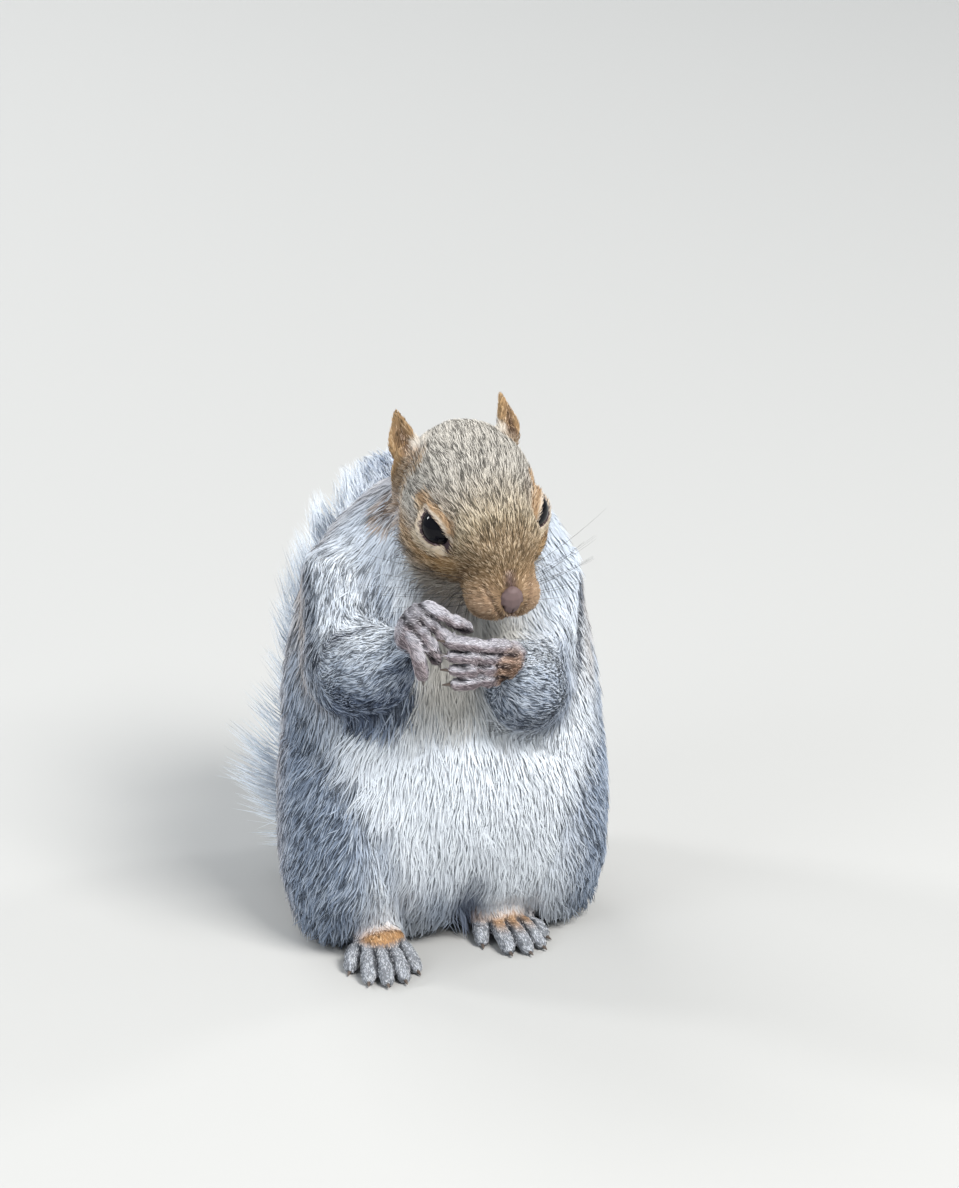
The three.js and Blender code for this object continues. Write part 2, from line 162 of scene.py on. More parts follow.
def unit(v):
    """Directions at length 1."""
    v = np.asarray(v, float)
    return v / np.maximum(np.linalg.norm(v, axis=-1, keepdims=True), 1e-9)


def triangles_of(mesh, what="vertices"):
    """The numbers of the vertices, or of the loops, of each of a mesh's triangles."""
    mesh.calc_loop_triangles()
    flat = np.empty(len(mesh.loop_triangles) * 3, np.int32)
    mesh.loop_triangles.foreach_get(what, flat)
    return flat.reshape(-1, 3)


def search_tree(*names):
    """A search tree of these solids' triangles, and the number in names that each belongs to."""
    place, owner = [], []
    for number, name in enumerate(names):
        triangles = triangles_of(nodes[name].data)
        place.append(corners(name)[triangles.ravel()])
        owner += [number] * len(triangles)
    place = np.concatenate(place)
    faces = np.arange(len(place)).reshape(-1, 3)
    return BVHTree.FromPolygons(place.tolist(), faces.tolist()), np.array(owner)


def meeting(one, other, reach=0.7):
    """The middle of the place where two solids touch."""
    tree, _ = search_tree(other)
    near = [p for p in corners(one) if tree.find_nearest(Vector(p), reach)[0] is not None]
    return np.mean(np.unique(np.round(near, 3), axis=0), axis=0)


SIDES = ("left", "right")
eye_middle = {side: middle_of(f"eye_{side}") for side in SIDES}
across_head = unit(eye_middle["left"] - eye_middle["right"])
between_eyes = (eye_middle["left"] + eye_middle["right"]) / 2
NOSE_DROP = math.radians(12.7)  # the nose hangs this far below the head's own level
to_nose = middle_of("nose") - between_eyes
to_nose = unit(to_nose - across_head * to_nose.dot(across_head))
above_nose = np.cross(to_nose, across_head)
head_front = to_nose * math.cos(NOSE_DROP) + above_nose * math.sin(NOSE_DROP)
head_up = np.cross(head_front, across_head)


def on_head(x, y, z):
    """A place given across, back from and above the point between the eyes, in millimetres."""
    return between_eyes + across_head * x - head_front * y + head_up * z


def head_parts(p):
    """The opposite of on_head, for many points."""
    q = p - between_eyes
    return q @ across_head, -(q @ head_front), q @ head_up


def near_line(p, start, end):
    """How far each place is from the line between two points."""
    run = np.subtract(end, start)
    t = np.clip((p - start) @ run / run.dot(run), 0, 1)
    return np.linalg.norm(p - start - t[:, None] * run, axis=1)


elbow = {s: meeting(f"upper_arm_{s}", f"forearm_{s}") for s in SIDES}
wrist = {s: meeting(f"forearm_{s}", f"forepaw_{s}") for s in SIDES}
eye_radius = float(np.ptp(corners("eye_left"), axis=0).mean()) / 2
EYE_SETTING = (1.7, 1.6)  # how far back and up each ball is set from the middle of its solid
socket = dict(eye_middle)
eye_middle = {s: socket[s] - head_front * EYE_SETTING[0] + head_up * EYE_SETTING[1] for s in SIDES}
print("eyes", {s: eye_middle[s].round(1).tolist() for s in SIDES}, f"radius {eye_radius:.2f} mm")
print("wrists", {s: wrist[s].round(1).tolist() for s in SIDES})

# %% [markdown]
# The tail is a thin rod of bone and muscle in a huge flat plume of hair. Its line starts behind the
# rump, lies on the floor for a moment, and climbs the back to the level of the ears. Each station
# has the plume's half width there as a share of the widest, as the solids have.

# %% The line of the tail
TAIL_STATIONS = (  # across, back, up, share of the full width
    (-2, 26, 16, 0.78), (-4, 44, 13, 0.98), (-6, 61, 19, 1.0), (-6, 67, 40, 0.97),
    (-6, 62, 72, 0.74), (-5, 55, 100, 0.66), (-3, 46, 124, 0.52), (-1, 39, 141, 0.34),
)
TAIL_HALF_WIDTH = 50
TAIL_HALF_DEPTH = 13
ROD_END = 0.97  # the rod of bone stops a little before the end of the line
stations = np.array(TAIL_STATIONS)


def along(stations, t):
    """A smooth run through the stations: t goes from 0 at the first to 1 at the last."""
    t = np.clip(np.asarray(t, float), 0, 1) * (len(stations) - 1)
    n = np.minimum(t.astype(int), len(stations) - 2)
    f = (t - n)[..., None]
    padded = np.vstack((2 * stations[0] - stations[1], stations, 2 * stations[-1] - stations[-2]))
    a, b, c, d = padded[n], padded[n + 1], padded[n + 2], padded[n + 3]
    return 0.5 * (
        2 * b + (c - a) * f + (2 * a - 5 * b + 4 * c - d) * f**2 + (3 * b - a - 3 * c + d) * f**3
    )


tail_line = along(stations, np.linspace(0, 1, 200))[:, :3]
tail_length = np.linalg.norm(np.diff(tail_line, axis=0), axis=1).sum()
print(f"the tail's line is {tail_length:.0f} mm long")

# %% [markdown]
# ## The skin
#
# A taxidermist pulls one skin over all the flesh. A voxel remesh does the same here: copies of the
# solids are swollen until they just overlap, joined, and turned into one surface of small even
# squares. Swelling matters, as a remesh leaves any gap wider than its squares open.

# %% Meshes to and from numpy


def make_mesh(name, points, faces, smooth=True):
    """A new object from points in millimetres and equal-sized faces."""
    mesh = bpy.data.meshes.new(name)
    faces = np.asarray(faces, np.int32)
    mesh.vertices.add(len(points))
    mesh.vertices.foreach_set("co", (np.asarray(points) * MM).astype(np.float32).ravel())
    mesh.loops.add(faces.size)
    mesh.loops.foreach_set("vertex_index", faces.ravel())
    mesh.polygons.add(len(faces))
    starts = np.arange(0, faces.size, faces.shape[1], dtype=np.int32)
    mesh.polygons.foreach_set("loop_start", starts)
    mesh.update(calc_edges=True)
    mesh.polygons.foreach_set("use_smooth", np.full(len(faces), smooth))
    made = bpy.data.objects.new(name, mesh)
    bpy.context.collection.objects.link(made)
    return made


def read(mesh, what="co"):
    """The places, in millimetres, or the normals of a mesh's vertices."""
    flat = np.empty(len(mesh.vertices) * 3, np.float32)
    if what == "co":
        mesh.vertices.foreach_get("co", flat)
        return flat.reshape(-1, 3).astype(float) / MM
    mesh.vertex_normals.foreach_get("vector", flat)
    return flat.reshape(-1, 3).astype(float)


def write(mesh, points):
    """Moves a mesh's vertices to these places, in millimetres."""
    mesh.vertices.foreach_set("co", (points * MM).astype(np.float32).ravel())
    mesh.update()


def edges_of(mesh):
    """The numbers of the two vertices at the ends of each edge."""
    flat = np.empty(len(mesh.edges) * 2, np.int32)
    mesh.edges.foreach_get("vertices", flat)
    return flat.reshape(-1, 2)


def spread(values, edges, rounds, share=0.5, back=0.0):
    """Each value moves a share of the way to its neighbours' mean. A step back keeps volume."""
    count = len(values)
    start = np.concatenate((edges[:, 0], edges[:, 1]))
    end = np.concatenate((edges[:, 1], edges[:, 0]))
    friends = np.maximum(np.bincount(start, minlength=count), 1)[:, None]
    values = values.reshape(count, -1).astype(float)
    share = np.broadcast_to(np.asarray(share, float).reshape(-1, 1), (count, 1))
    for _ in range(rounds):
        for sign in (1, -back) if back else (1,):
            mean = np.stack([
                np.bincount(start, values[end, n], minlength=count) for n in range(values.shape[1])
            ], axis=1) / friends
            values = values + sign * share * (mean - values)
    return values


def tube(line, radii, sides):
    """The points and triangles of a closed round tube along a line."""
    line, radii = np.asarray(line, float), np.asarray(radii, float)
    ahead = unit(np.gradient(line, axis=0))
    side = unit(np.cross(ahead, np.where(np.abs(ahead[:, :1]) < 0.9, (1.0, 0, 0), (0, 1.0, 0))))
    up = np.cross(side, ahead)
    turn = np.arange(sides) * 2 * math.pi / sides
    ring = np.cos(turn)[:, None] * side[:, None] + np.sin(turn)[:, None] * up[:, None]
    points = (line[:, None] + radii[:, None, None] * ring).reshape(-1, 3)
    faces = []
    for n in range(len(line) - 1):
        for k in range(sides):
            a, b = n * sides + k, n * sides + (k + 1) % sides
            faces += [(a, b + sides, b), (a, a + sides, b + sides)]
    last = (len(line) - 1) * sides
    faces += [(0, k, k + 1) for k in range(1, sides - 1)]
    faces += [(last, last + k + 1, last + k) for k in range(1, sides - 1)]
    return points, faces


# %% Copies of the flesh, swollen and joined
FLESH = ["head", "neck", "trunk"] + [
    f"{part}_{side}" for side in SIDES
    for part in ("ear", "upper_arm", "forearm", "haunch", "forepaw", "hind_foot")
]
TAIL = ["tail_base", "tail_lower", "tail_upper", "tail_tip"]
SWELL = 0.2  # mm, just over half the gap between two solids
SKIN_SQUARE = 0.85  # mm
MERGED = 0.00001  # m, nearer than which two corners of a solid are one


def alone(obj):
    """Makes this object the only one that is selected, and active."""
    bpy.ops.object.select_all(action="DESELECT")
    obj.select_set(True)
    bpy.context.view_layer.objects.active = obj


def copy_of(name):
    """A solid's copy with a mesh of its own, left visible."""
    copy = nodes[name].copy()
    copy.data = nodes[name].data.copy()
    bpy.context.collection.objects.link(copy)
    copy.parent = None
    copy.hide_render = copy.hide_viewport = False
    copy.matrix_world = nodes[name].matrix_world
    return copy


def joined(parts):
    """One object from several, with its place in its mesh."""
    bpy.ops.object.select_all(action="DESELECT")
    for part in parts:
        part.select_set(True)
    bpy.context.view_layer.objects.active = parts[0]
    bpy.ops.object.join()
    bpy.ops.object.transform_apply(location=True, rotation=True, scale=True)
    return bpy.context.object


EAR_LOBE = {  # the outer rim below each ear, on the head; the left ear is laid closer
    "right": ((-18.4, 27.5, 9), (-19.8, 27, 0), (-18.8, 26.5, -12.5)),
    "left": ((16.6, 28, 9), (17.0, 28, 0), (17.0, 27, -9)),
}
LOBE_RADII = (3.0, 2.5, 1.5)
lobe = {s: np.array([on_head(*place) for place in EAR_LOBE[s]]) for s in SIDES}


def lobe_far(side, p):
    """How far each place is from the surface of the rim below an ear."""
    upper = near_line(p, *lobe[side][:2]) - LOBE_RADII[1]
    lower = near_line(p, *lobe[side][1:]) - LOBE_RADII[2] * 1.4
    return np.minimum(upper, lower)


def off_rims(p):
    """How far each place is from the nearer of the two rims."""
    return np.minimum(*(lobe_far(side, p) for side in SIDES))


ROD_RADII = (4.6, 1.8)  # at the rump and at the tip
ROD_RINGS = 40
TUBE_SIDES = 10
tail_core = along(stations, np.linspace(0, ROD_END, ROD_RINGS))[:, :3]
rod = make_mesh("rod", *tube(tail_core, np.linspace(*ROD_RADII, ROD_RINGS), TUBE_SIDES))
rims = [make_mesh(f"rim_{side}", *tube(lobe[side], LOBE_RADII, TUBE_SIDES)) for side in SIDES]
skin = joined([rod] + rims + [copy_of(name) for name in FLESH + ["eye_left", "eye_right"]])
skin.name = "skin"
bpy.ops.object.mode_set(mode="EDIT")
bpy.ops.mesh.select_all(action="SELECT")
bpy.ops.mesh.remove_doubles(threshold=MERGED)
bpy.ops.mesh.normals_make_consistent(inside=False)
bpy.ops.transform.shrink_fatten(value=SWELL * MM)
bpy.ops.object.mode_set(mode="OBJECT")
skin.data.remesh_voxel_size = SKIN_SQUARE * MM
bpy.ops.object.voxel_remesh()
skin.data.materials.clear()
print(f"the skin has {len(skin.data.polygons)} squares")

# %% [markdown]
# ## Which part of the body is this?
#
# Coat and skin change from place to place: long on the back, almost nothing on a finger. One search
# tree of all the solids tells each point of the skin which solid it came from, and a small table
# says what the coat is like there. Spread over their neighbours, the values change gradually.

# %% The coat's table
COAT = {  # depth, length and width of a tuft in mm, lift in degrees, tufts in a square mm
    "head": (1.2, 4.3, 0.28, 13, 4.5),
    "ear": (0.3, 2.2, 0.28, 16, 5.5),
    "neck": (3.0, 8.5, 0.48, 13, 2.2),
    "trunk": (3.2, 9.5, 0.50, 12, 1.22),
    "haunch": (3.0, 8.0, 0.46, 12, 1.5),
    "upper_arm": (2.0, 6.2, 0.42, 12, 2.4),
    "forearm": (1.4, 4.6, 0.38, 12, 2.8),
    "forepaw": (-0.45, 2.1, 0.20, 9, 5.2),
    "hind_foot": (-0.1, 3.4, 0.30, 12, 3.4),
    "tail": (0.0, 6.0, 0.50, 20, 1.0),
}
DEPTH, LENGTH, WIDTH, LIFT, DENSITY = range(5)
PARTS = list(COAT)


def part_number(name):
    """The row of the table that a solid belongs to."""
    return next(n for n, part in enumerate(PARTS) if name.startswith(part))


BODY = FLESH + TAIL
RIM_MARGIN = 0.6  # mm round the rims that still count as ear
body_tree, body_owner = search_tree(*BODY)
part_of_solid = np.array([part_number(name) for name in BODY])
is_left = np.array([name.endswith("left") for name in BODY])


def solids_under(points):
    """The number in BODY of the solid that is nearest to each point."""
    number = np.array([body_owner[body_tree.find_nearest(Vector(p))[2]] for p in points])
    for side in SIDES:
        number[lobe_far(side, points) < RIM_MARGIN] = BODY.index(f"ear_{side}")
    return number


def step(low, high, value):
    """0 below low, 1 above high, and a smooth rise between them. It falls if low is the larger."""
    t = np.clip((value - low) / (high - low), 0, 1)
    return t * t * (3 - 2 * t)


def hill(middle, half, value):
    """1 in the middle, 0 further off than half."""
    return step(half, 0, np.abs(value - middle))


print(f"{len(BODY)} solids of flesh, {len(PARTS)} kinds of coat")


# %% [markdown]
# The solids are faceted: their flat sides are 12 mm across on the trunk and 5 on the head. Moving
# every point towards the mean of its neighbours melts the facets. The trunk needs many rounds of
# it, the face a few, and the fingers almost none, or they would shrivel.

# %% Melt the facets
TRUNK_ROUNDS, HEAD_ROUNDS, PAW_ROUNDS = 80, 9, 3
points = read(skin.data)
edges = edges_of(skin.data)
solid = solids_under(points)
part = part_of_solid[solid]


def among(*names):
    """1 for the points that belong to these parts, spread a little."""
    chosen = np.isin(part, [PARTS.index(n) for n in names]).astype(float)
    return spread(chosen, edges, 6)[:, 0]


broad = among("trunk", "neck", "haunch")
points = spread(points, edges, TRUNK_ROUNDS, 0.5 * broad)
points = spread(points, edges, HEAD_ROUNDS, 0.5 * among("head", "upper_arm", "forearm"))
points = spread(points, edges, PAW_ROUNDS, 0.4, back=1.03)

# The ears' tips are drawn in, as their fur makes them broad again.
TIP_NARROWED = 0.42  # share of its width that an ear's tip loses
ear_foot = {s: meeting(f"ear_{s}", "head") for s in SIDES}
ear_axis = {}
for side in SIDES:
    rise = corners(f"ear_{side}") - ear_foot[side]
    height = np.linalg.norm(rise, axis=1)
    ear_axis[side] = unit(rise[height.argmax()])
    up_ear = (points - ear_foot[side]) @ ear_axis[side] / height.max()
    drawn_in = TIP_NARROWED * step(0.25, 0.95, up_ear) * (solid == BODY.index(f"ear_{side}"))
    across_ear = unit(across_head - ear_axis[side] * across_head.dot(ear_axis[side]))
    points = points - np.outer((points - ear_foot[side]) @ across_ear * drawn_in, across_ear)
write(skin.data, points)
table = np.array([COAT[name] for name in PARTS])[part]
print(f"{int((broad > 0.5).sum())} points of the trunk are melted")

# %% [markdown]
# The skin lies inside the solids by the coat's depth there: three millimetres under the back,
# a third of one at the nose.

# %% Sink the skin by the coat's depth
MELTED = 0.5  # mm that the melting has already taken off the trunk
depth = spread(table[:, DEPTH] - MELTED * broad, edges, 14)[:, 0]
hx, hy, hz = head_parts(points)
snout = step(-6, -22, hy) * among("head")
depth = depth * (1 - 0.8 * snout)

# Soft folds: where each thigh leans on the belly, where the chest's bib ends, between and beside
# the legs, and behind the rim of each ear.
THIGH_FOLD, BIB_FOLD, RIM_FOLD, LEGS_APART, LEG_FOLD = 2.0, 1.6, 1.2, 4.5, 2.2  # depths in mm
ahead_of = -read(skin.data, "normal")[:, 1]
facing_front = step(0.1, 0.6, ahead_of)
thigh_edge = among("haunch")
between = 4 * thigh_edge * (1 - thigh_edge) * step(-0.8, -0.3, ahead_of)
BIB_EDGE = 83  # mm above the floor
LEG_LINE = ((-27, 46), (-16, 8))  # beside the right leg, across and up, in mm
bib_height = points[:, 2] + 0.012 * points[:, 0] ** 2  # the bib's edge is lower at the sides
bib_edge = hill(BIB_EDGE, 9, bib_height) * facing_front * among("trunk")
bib_edge = bib_edge * step(38, 26, np.abs(points[:, 0]))
legs_part = hill(3, 11, points[:, 0]) * step(36, 12, points[:, 2])
legs_part = legs_part * facing_front * among("trunk", "haunch")
off_leg_line = near_line(points[:, [0, 2]], *LEG_LINE)
leg_fold = hill(0, 6, off_leg_line) * facing_front * among("trunk", "haunch")
behind_rim = hill(1.6, 1.6, off_rims(points)) * among("head", "neck")
folds = (THIGH_FOLD * between + BIB_FOLD * bib_edge + RIM_FOLD * behind_rim
         + LEGS_APART * legs_part + LEG_FOLD * leg_fold)
depth = depth + spread(folds, edges, 4)[:, 0]
write(skin.data, points - read(skin.data, "normal") * depth[:, None])
print(f"the skin lies up to {depth.max():.1f} mm inside the solids")

# %% [markdown]
# Under long hair the skin is never seen, so it can do with fewer faces there. Decimate takes a
# vertex group that says where it may: everywhere but the head, the hands and the feet.

# %% Fewer faces under the long hair
TRUNK_TRIANGLES = 45000
hidden = among("trunk", "neck", "haunch") * (1 - among("head", "forepaw", "hind_foot"))
thin = skin.vertex_groups.new(name="long_hair")
thin.add(np.flatnonzero(hidden > 0.5).tolist(), 1.0, "REPLACE")
hidden_share = float((hidden > 0.5).mean())
triangles = sum(len(polygon.vertices) - 2 for polygon in skin.data.polygons)
alone(skin)
fewer = skin.modifiers.new("fewer", "DECIMATE")
fewer.vertex_group = thin.name
fewer.ratio = 1 - hidden_share + TRUNK_TRIANGLES / triangles
bpy.ops.object.modifier_apply(modifier=fewer.name)
print(f"{triangles} triangles became {sum(len(p.vertices) - 2 for p in skin.data.polygons)}")

# %% [markdown]
# ## The face
#
# A model animal lives by its face, so the squares of the head are cut in four first. The eye is a
# real ball, and a lid is skin that lies on it: the points of the skin round each eye are set at a
# lid's thickness over the ball, and inside the opening they drop behind it.

# %% Finer squares on the head
points = read(skin.data)
part = part_of_solid[solids_under(points)]
hx, hy, hz = head_parts(points)
face_points = (part == PARTS.index("head")) & (hy < 8)
mesh = skin.data
alone(skin)
bpy.ops.object.mode_set(mode="EDIT")
bpy.ops.mesh.select_mode(type="FACE")
bpy.ops.mesh.select_all(action="DESELECT")
bpy.ops.object.mode_set(mode="OBJECT")
for polygon in mesh.polygons:
    polygon.select = bool(face_points[list(polygon.vertices)].all())
bpy.ops.object.mode_set(mode="EDIT")
bpy.ops.mesh.subdivide(number_cuts=1)
bpy.ops.object.mode_set(mode="OBJECT")
points = read(mesh)
edges = edges_of(mesh)
solid = solids_under(points)
part = part_of_solid[solid]
on_face = among("head")
points = spread(points, edges, 3, 0.5 * on_face)

# The solids' round eyes are stretched flat, as each ball is set a little further back and up.
for side in SIDES:
    round_eye = np.linalg.norm(points - socket[side], axis=1) < eye_radius + 1.3
    points = spread(points, edges[round_eye[edges].any(1)], 400, 0.5 * round_eye)
write(mesh, points)
print(f"{sum(len(p.vertices) - 2 for p in mesh.polygons)} triangles after the face's were cut")

# %% Lids
LID = 0.6  # mm that the lid's edge stands over the ball
LID_ROLL = 0.9  # mm more where the lid is thickest
LID_DROP = 1.3  # mm that the skin goes behind the ball's surface in the opening
OPENING = (8.3, 3.8)  # half length and half height of the opening, in mm along the ball
OPENING_SLANT = math.radians(15)  # the front corner of the eye is the lower one
OPENING_MIDDLE = (0.9, 0.9)  # mm to the front and up from the middle of the ball
eye_out = {s: unit(on_head(sign * 0.88, -0.40, 0.25) - between_eyes)
           for s, sign in (("left", 1), ("right", -1))}


def eye_view(side, p):
    """Where points lie, seen straight into an eye: towards the front corner, upwards, outwards."""
    out = eye_out[side]
    to_front = unit(head_front - out * head_front.dot(out))
    up = np.cross(out, to_front) * (1 if side == "left" else -1)
    up = up if up.dot(head_up) > 0 else -up
    q = p - eye_middle[side]
    c, s = math.cos(OPENING_SLANT), math.sin(OPENING_SLANT)
    f, u = q @ to_front, q @ up
    return f * c - u * s, f * s + u * c, q @ out


def off_lids(side, p):
    """How far a place is outside the opening between the lids, in mm. It is negative inside."""
    f, u, o = eye_view(side, p)
    sideways = np.maximum(np.hypot(f, u), 1e-6)
    arc = eye_radius * np.arctan2(sideways, o) / sideways
    f, u = f * arc - OPENING_MIDDLE[0], u * arc - OPENING_MIDDLE[1]
    height = OPENING[1] * (1 - 0.3 * step(0.5, OPENING[0] + 1, f) - 0.25 * step(-1, -OPENING[0], f))
    reach = np.maximum(np.hypot(f / OPENING[0], u / height), 0.01)
    too_far = 9 * step(3.5, 7, np.hypot(sideways, o) - eye_radius)
    return np.hypot(f, u) * (1 - 1 / reach) + too_far


def off_both_lids(p):
    """How far a place is outside the nearer of the two openings."""
    return np.minimum(*(off_lids(side, p) for side in SIDES))


for side in SIDES:
    away = points - eye_middle[side]
    far = np.linalg.norm(away, axis=1)
    off = off_lids(side, points)
    lid_far = (eye_radius + LID - (LID + LID_DROP) * step(0.1, -0.3, off)
               + LID_ROLL * hill(1.7, 1.4, off))
    near = step(4.5, 1.0, off)
    moved = far + (lid_far - far) * near
    moved = np.where(off > 0.1, np.maximum(moved, eye_radius + 0.8 * LID), moved)
    points = points + away / far[:, None] * (moved - far)[:, None]
print(f"each eye's opening is {2 * OPENING[0]:.1f} by {2 * OPENING[1]:.1f} mm")

# %% [markdown]
# Under the nose a short groove runs down to the mouth, and the mouth runs back from it under the
# whisker pads. Both are pressed into the skin along lines on the head.

# %% Mouth
MOUTH_LEVEL = -15.4


def mouth_mask(across, back, over, half=1.0):
    """1 in the groove under the nose and between the lips. It is given places on the head."""
    height = MOUTH_LEVEL + 0.03 * across**2 + 0.06 * (back + 24)
    under_nose = (hill(0, half, across) * step(MOUTH_LEVEL - 0.4, MOUTH_LEVEL + 1, over)
                  * step(-9, -10, over) * step(-20, -23, back))
    lips = hill(0, half, over - height) * step(8.5, 6.5, np.abs(across)) * step(-9, -13, back)
    return np.clip(under_nose + lips, 0, 1)


hx, hy, hz = head_parts(points)
PAD_MIDDLE = (7.0, -23.5, -8.5)  # of the left whisker pad, on the head
PAD_SPREAD = 22  # square mm
GROOVE, CHEEK_FOLD, NOSE_FOLD, PAD_RISE = 1.1, 0.8, 0.9, 1.2  # depths and a height, in mm
off_pad = ((np.abs(hx) - PAD_MIDDLE[0]) ** 2 + (hy - PAD_MIDDLE[1]) ** 2
           + (hz - PAD_MIDDLE[2]) ** 2)
pad = np.exp(-off_pad / PAD_SPREAD)


def beside_nose(across, back, over):
    """1 in the shallow groove between the bridge of the nose and each whisker pad."""
    line = np.abs(across) - 5.6 - 0.55 * (over + 6)
    return hill(0, 1.3, line) * step(-17, -21, back) * step(-2, -5, over) * step(-15, -12, over)


fold = hill(-13.2, 2.2, hy + 0.35 * (hz + 8)) * step(1, -4, hz) * step(4, 8, np.abs(hx))
groove = mouth_mask(hx, hy, hz) * on_face
write(mesh, points)
normal = read(mesh, "normal")
relief = (GROOVE * groove + CHEEK_FOLD * fold + NOSE_FOLD * beside_nose(hx, hy, hz)
          - PAD_RISE * pad)
points = points - normal * (relief * on_face)[:, None]
write(mesh, points)
print("the lips and the groove take", int((groove > 0.5).sum()), "points")

# %% [markdown]
# ## Eyes, nose and claws
#
# These are bare, so they stay pieces of their own. An eye is a smooth ball, nearly black, under a
# clear wet coat; all its life is in the reflection.

# %% Eyes
eye_material = material("eye_wet", (0.004, 0.004, 0.006), 0.03, Specular_IOR_Level=0.14)
for side in SIDES:
    bpy.ops.mesh.primitive_uv_sphere_add(segments=48, ring_count=32, radius=1)
    eye = bpy.context.object
    eye.name = f"eye_{side}_ball"
    write(eye.data, read(eye.data) * MM * eye_radius + eye_middle[side])
    bpy.ops.object.shade_smooth()
    eye.data.materials.append(eye_material)
    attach(eye, "root")
    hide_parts(f"eye_{side}")
print(f"two eyes, {2 * eye_radius:.1f} mm across")

# %% [markdown]
# The nose leather is a bare pad with a groove down the middle and a slit of a nostril on each side.
# A remesh cuts a copy of its solid into small even squares, and the groove and the slits are
# pressed into them. Each point also carries a colour of its own, which the material reads as an
# attribute.

# %% Nose


def merged_copy(node, name):
    """A copy of a solid as one closed mesh, with its place in the mesh."""
    piece = copy_of(node)
    piece.name = name
    piece.data.materials.clear()
    alone(piece)
    bpy.ops.object.transform_apply(location=True, rotation=True, scale=True)
    bpy.ops.object.mode_set(mode="EDIT")
    bpy.ops.mesh.select_all(action="SELECT")
    bpy.ops.mesh.remove_doubles(threshold=MERGED)
    bpy.ops.object.mode_set(mode="OBJECT")
    return piece


def tint_points(mesh, colours):
    """Gives each point of a mesh its own colour."""
    rgba = np.ones((len(mesh.vertices), 4), np.float32)
    rgba[:, :3] = colours
    tint = mesh.color_attributes.new("tint", "FLOAT_COLOR", "POINT")
    tint.data.foreach_set("color", rgba.ravel())


def tinted_material(name, colour, roughness, **sockets):
    """A material that takes its colour from the points."""
    made = material(name, colour, roughness, **sockets)
    tree = made.node_tree
    reader = tree.nodes.new("ShaderNodeAttribute")
    reader.attribute_name = "tint"
    tree.links.new(reader.outputs["Color"], tree.nodes["Principled BSDF"].inputs["Base Color"])
    return made


NOSE_SQUARE = 0.22  # mm
NOSE_GROWTH = {"across": 1.2, "along": 1.05, "over": 1.25}  # it runs on under the first hairs
CLEFT_DEPTH, NOSTRIL_DEPTH = 0.6, 1.2  # mm
nose = merged_copy("nose", "nose_pad")
nose.data.remesh_voxel_size = NOSE_SQUARE * MM
bpy.ops.object.voxel_remesh()
nose_points = spread(read(nose.data), edges_of(nose.data), 10, 0.5, back=0.9)
from_middle = nose_points - middle_of("nose")
nose_points = middle_of("nose") + sum(
    np.outer(from_middle @ axis * NOSE_GROWTH[way], axis)
    for way, axis in (("across", across_head), ("along", head_front), ("over", head_up)))
nx, _, nz = head_parts(nose_points)
level = (nz - nz.min()) / np.ptp(nz)
narrowing = 1 - 0.34 * step(0.45, 0.05, level) - 0.12 * step(0.7, 1.0, level)
nose_points = nose_points + np.outer(nx * (narrowing - 1), across_head)
nx = nx * narrowing
cleft = hill(0, 0.4, nx) * step(0.5, 0.25, level)
nostril = hill(0, 0.8, np.abs(nx) - 2.9 + 8 * (level - 0.42) ** 2) * hill(0.38, 0.2, level)
carved = CLEFT_DEPTH * cleft + NOSTRIL_DEPTH * nostril
nose_points = nose_points + np.outer(carved, -head_front)
write(nose.data, nose_points)
bpy.ops.object.shade_smooth()
pink, dark = np.array((0.150, 0.104, 0.102)), np.array((0.018, 0.010, 0.009))
shaded = 0.7 * cleft + nostril + 0.35 * step(0.5, 0.0, level)
tint_points(nose.data, pink + np.clip(shaded, 0, 1)[:, None] * (dark - pink))
nose.data.materials.append(
    tinted_material("nose_leather_paint", tuple(pink), 0.62, Specular_IOR_Level=0.3))
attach(nose, "root")
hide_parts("nose")
print(f"the nose has {len(nose.data.polygons)} squares")

# %% [markdown]
# A claw is a curved hook of horn. Each one is a copy of its solid, cut finer once so that its flat
# sides become round.

# %% Claws
CLAWS = sorted(name for name in nodes if "_claw_" in name)
claw_material = material(
    "claw_horn", (0.11, 0.085, 0.07), 0.35, Coat_Weight=0.3, Coat_Roughness=0.2)
for name in CLAWS:
    claw = merged_copy(name, f"{name}_horn")
    bpy.ops.object.mode_set(mode="EDIT")
    bpy.ops.mesh.select_all(action="SELECT")
    bpy.ops.mesh.subdivide(number_cuts=1, smoothness=0.8)
    bpy.ops.object.mode_set(mode="OBJECT")
    bpy.ops.object.shade_smooth()
    claw.data.materials.append(claw_material)
    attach(claw, "root")
    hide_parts(name)
print(f"{len(CLAWS)} claws")

# %% [markdown]
# ## Which way the hair lies
#
# A stroke of the hand from nose to tail goes with the coat. Each part has its own direction: away
# from the nose on the head, out to the tip on an ear, along the bones of the arms, down the trunk.
# The directions are laid into the skin and then spread over their neighbours, so that the coat
# turns gradually from one part to the next.

# %% The direction of the coat
points = read(mesh)
normal = read(mesh, "normal")
edges = edges_of(mesh)
solid = solids_under(points)
part = part_of_solid[solid]
left = is_left[solid]
nose_tip = middle_of("nose")
ahead = np.tile((0.0, 0.12, -1.0), (len(points), 1))
ahead[:, 0] = 0.006 * points[:, 0]


def lay(name, direction, side=None):
    """Sets the coat's direction over one part of the body, or over one side of it."""
    chosen = part == PARTS.index(name)
    if side:
        chosen &= left == (side == "left")
    ahead[chosen] = (direction if direction.ndim == 1 else direction[chosen])


def claws_middle(limb):
    """The middle of a hand's or a foot's claws."""
    return np.mean([middle_of(name) for name in CLAWS if name.startswith(limb)], axis=0)


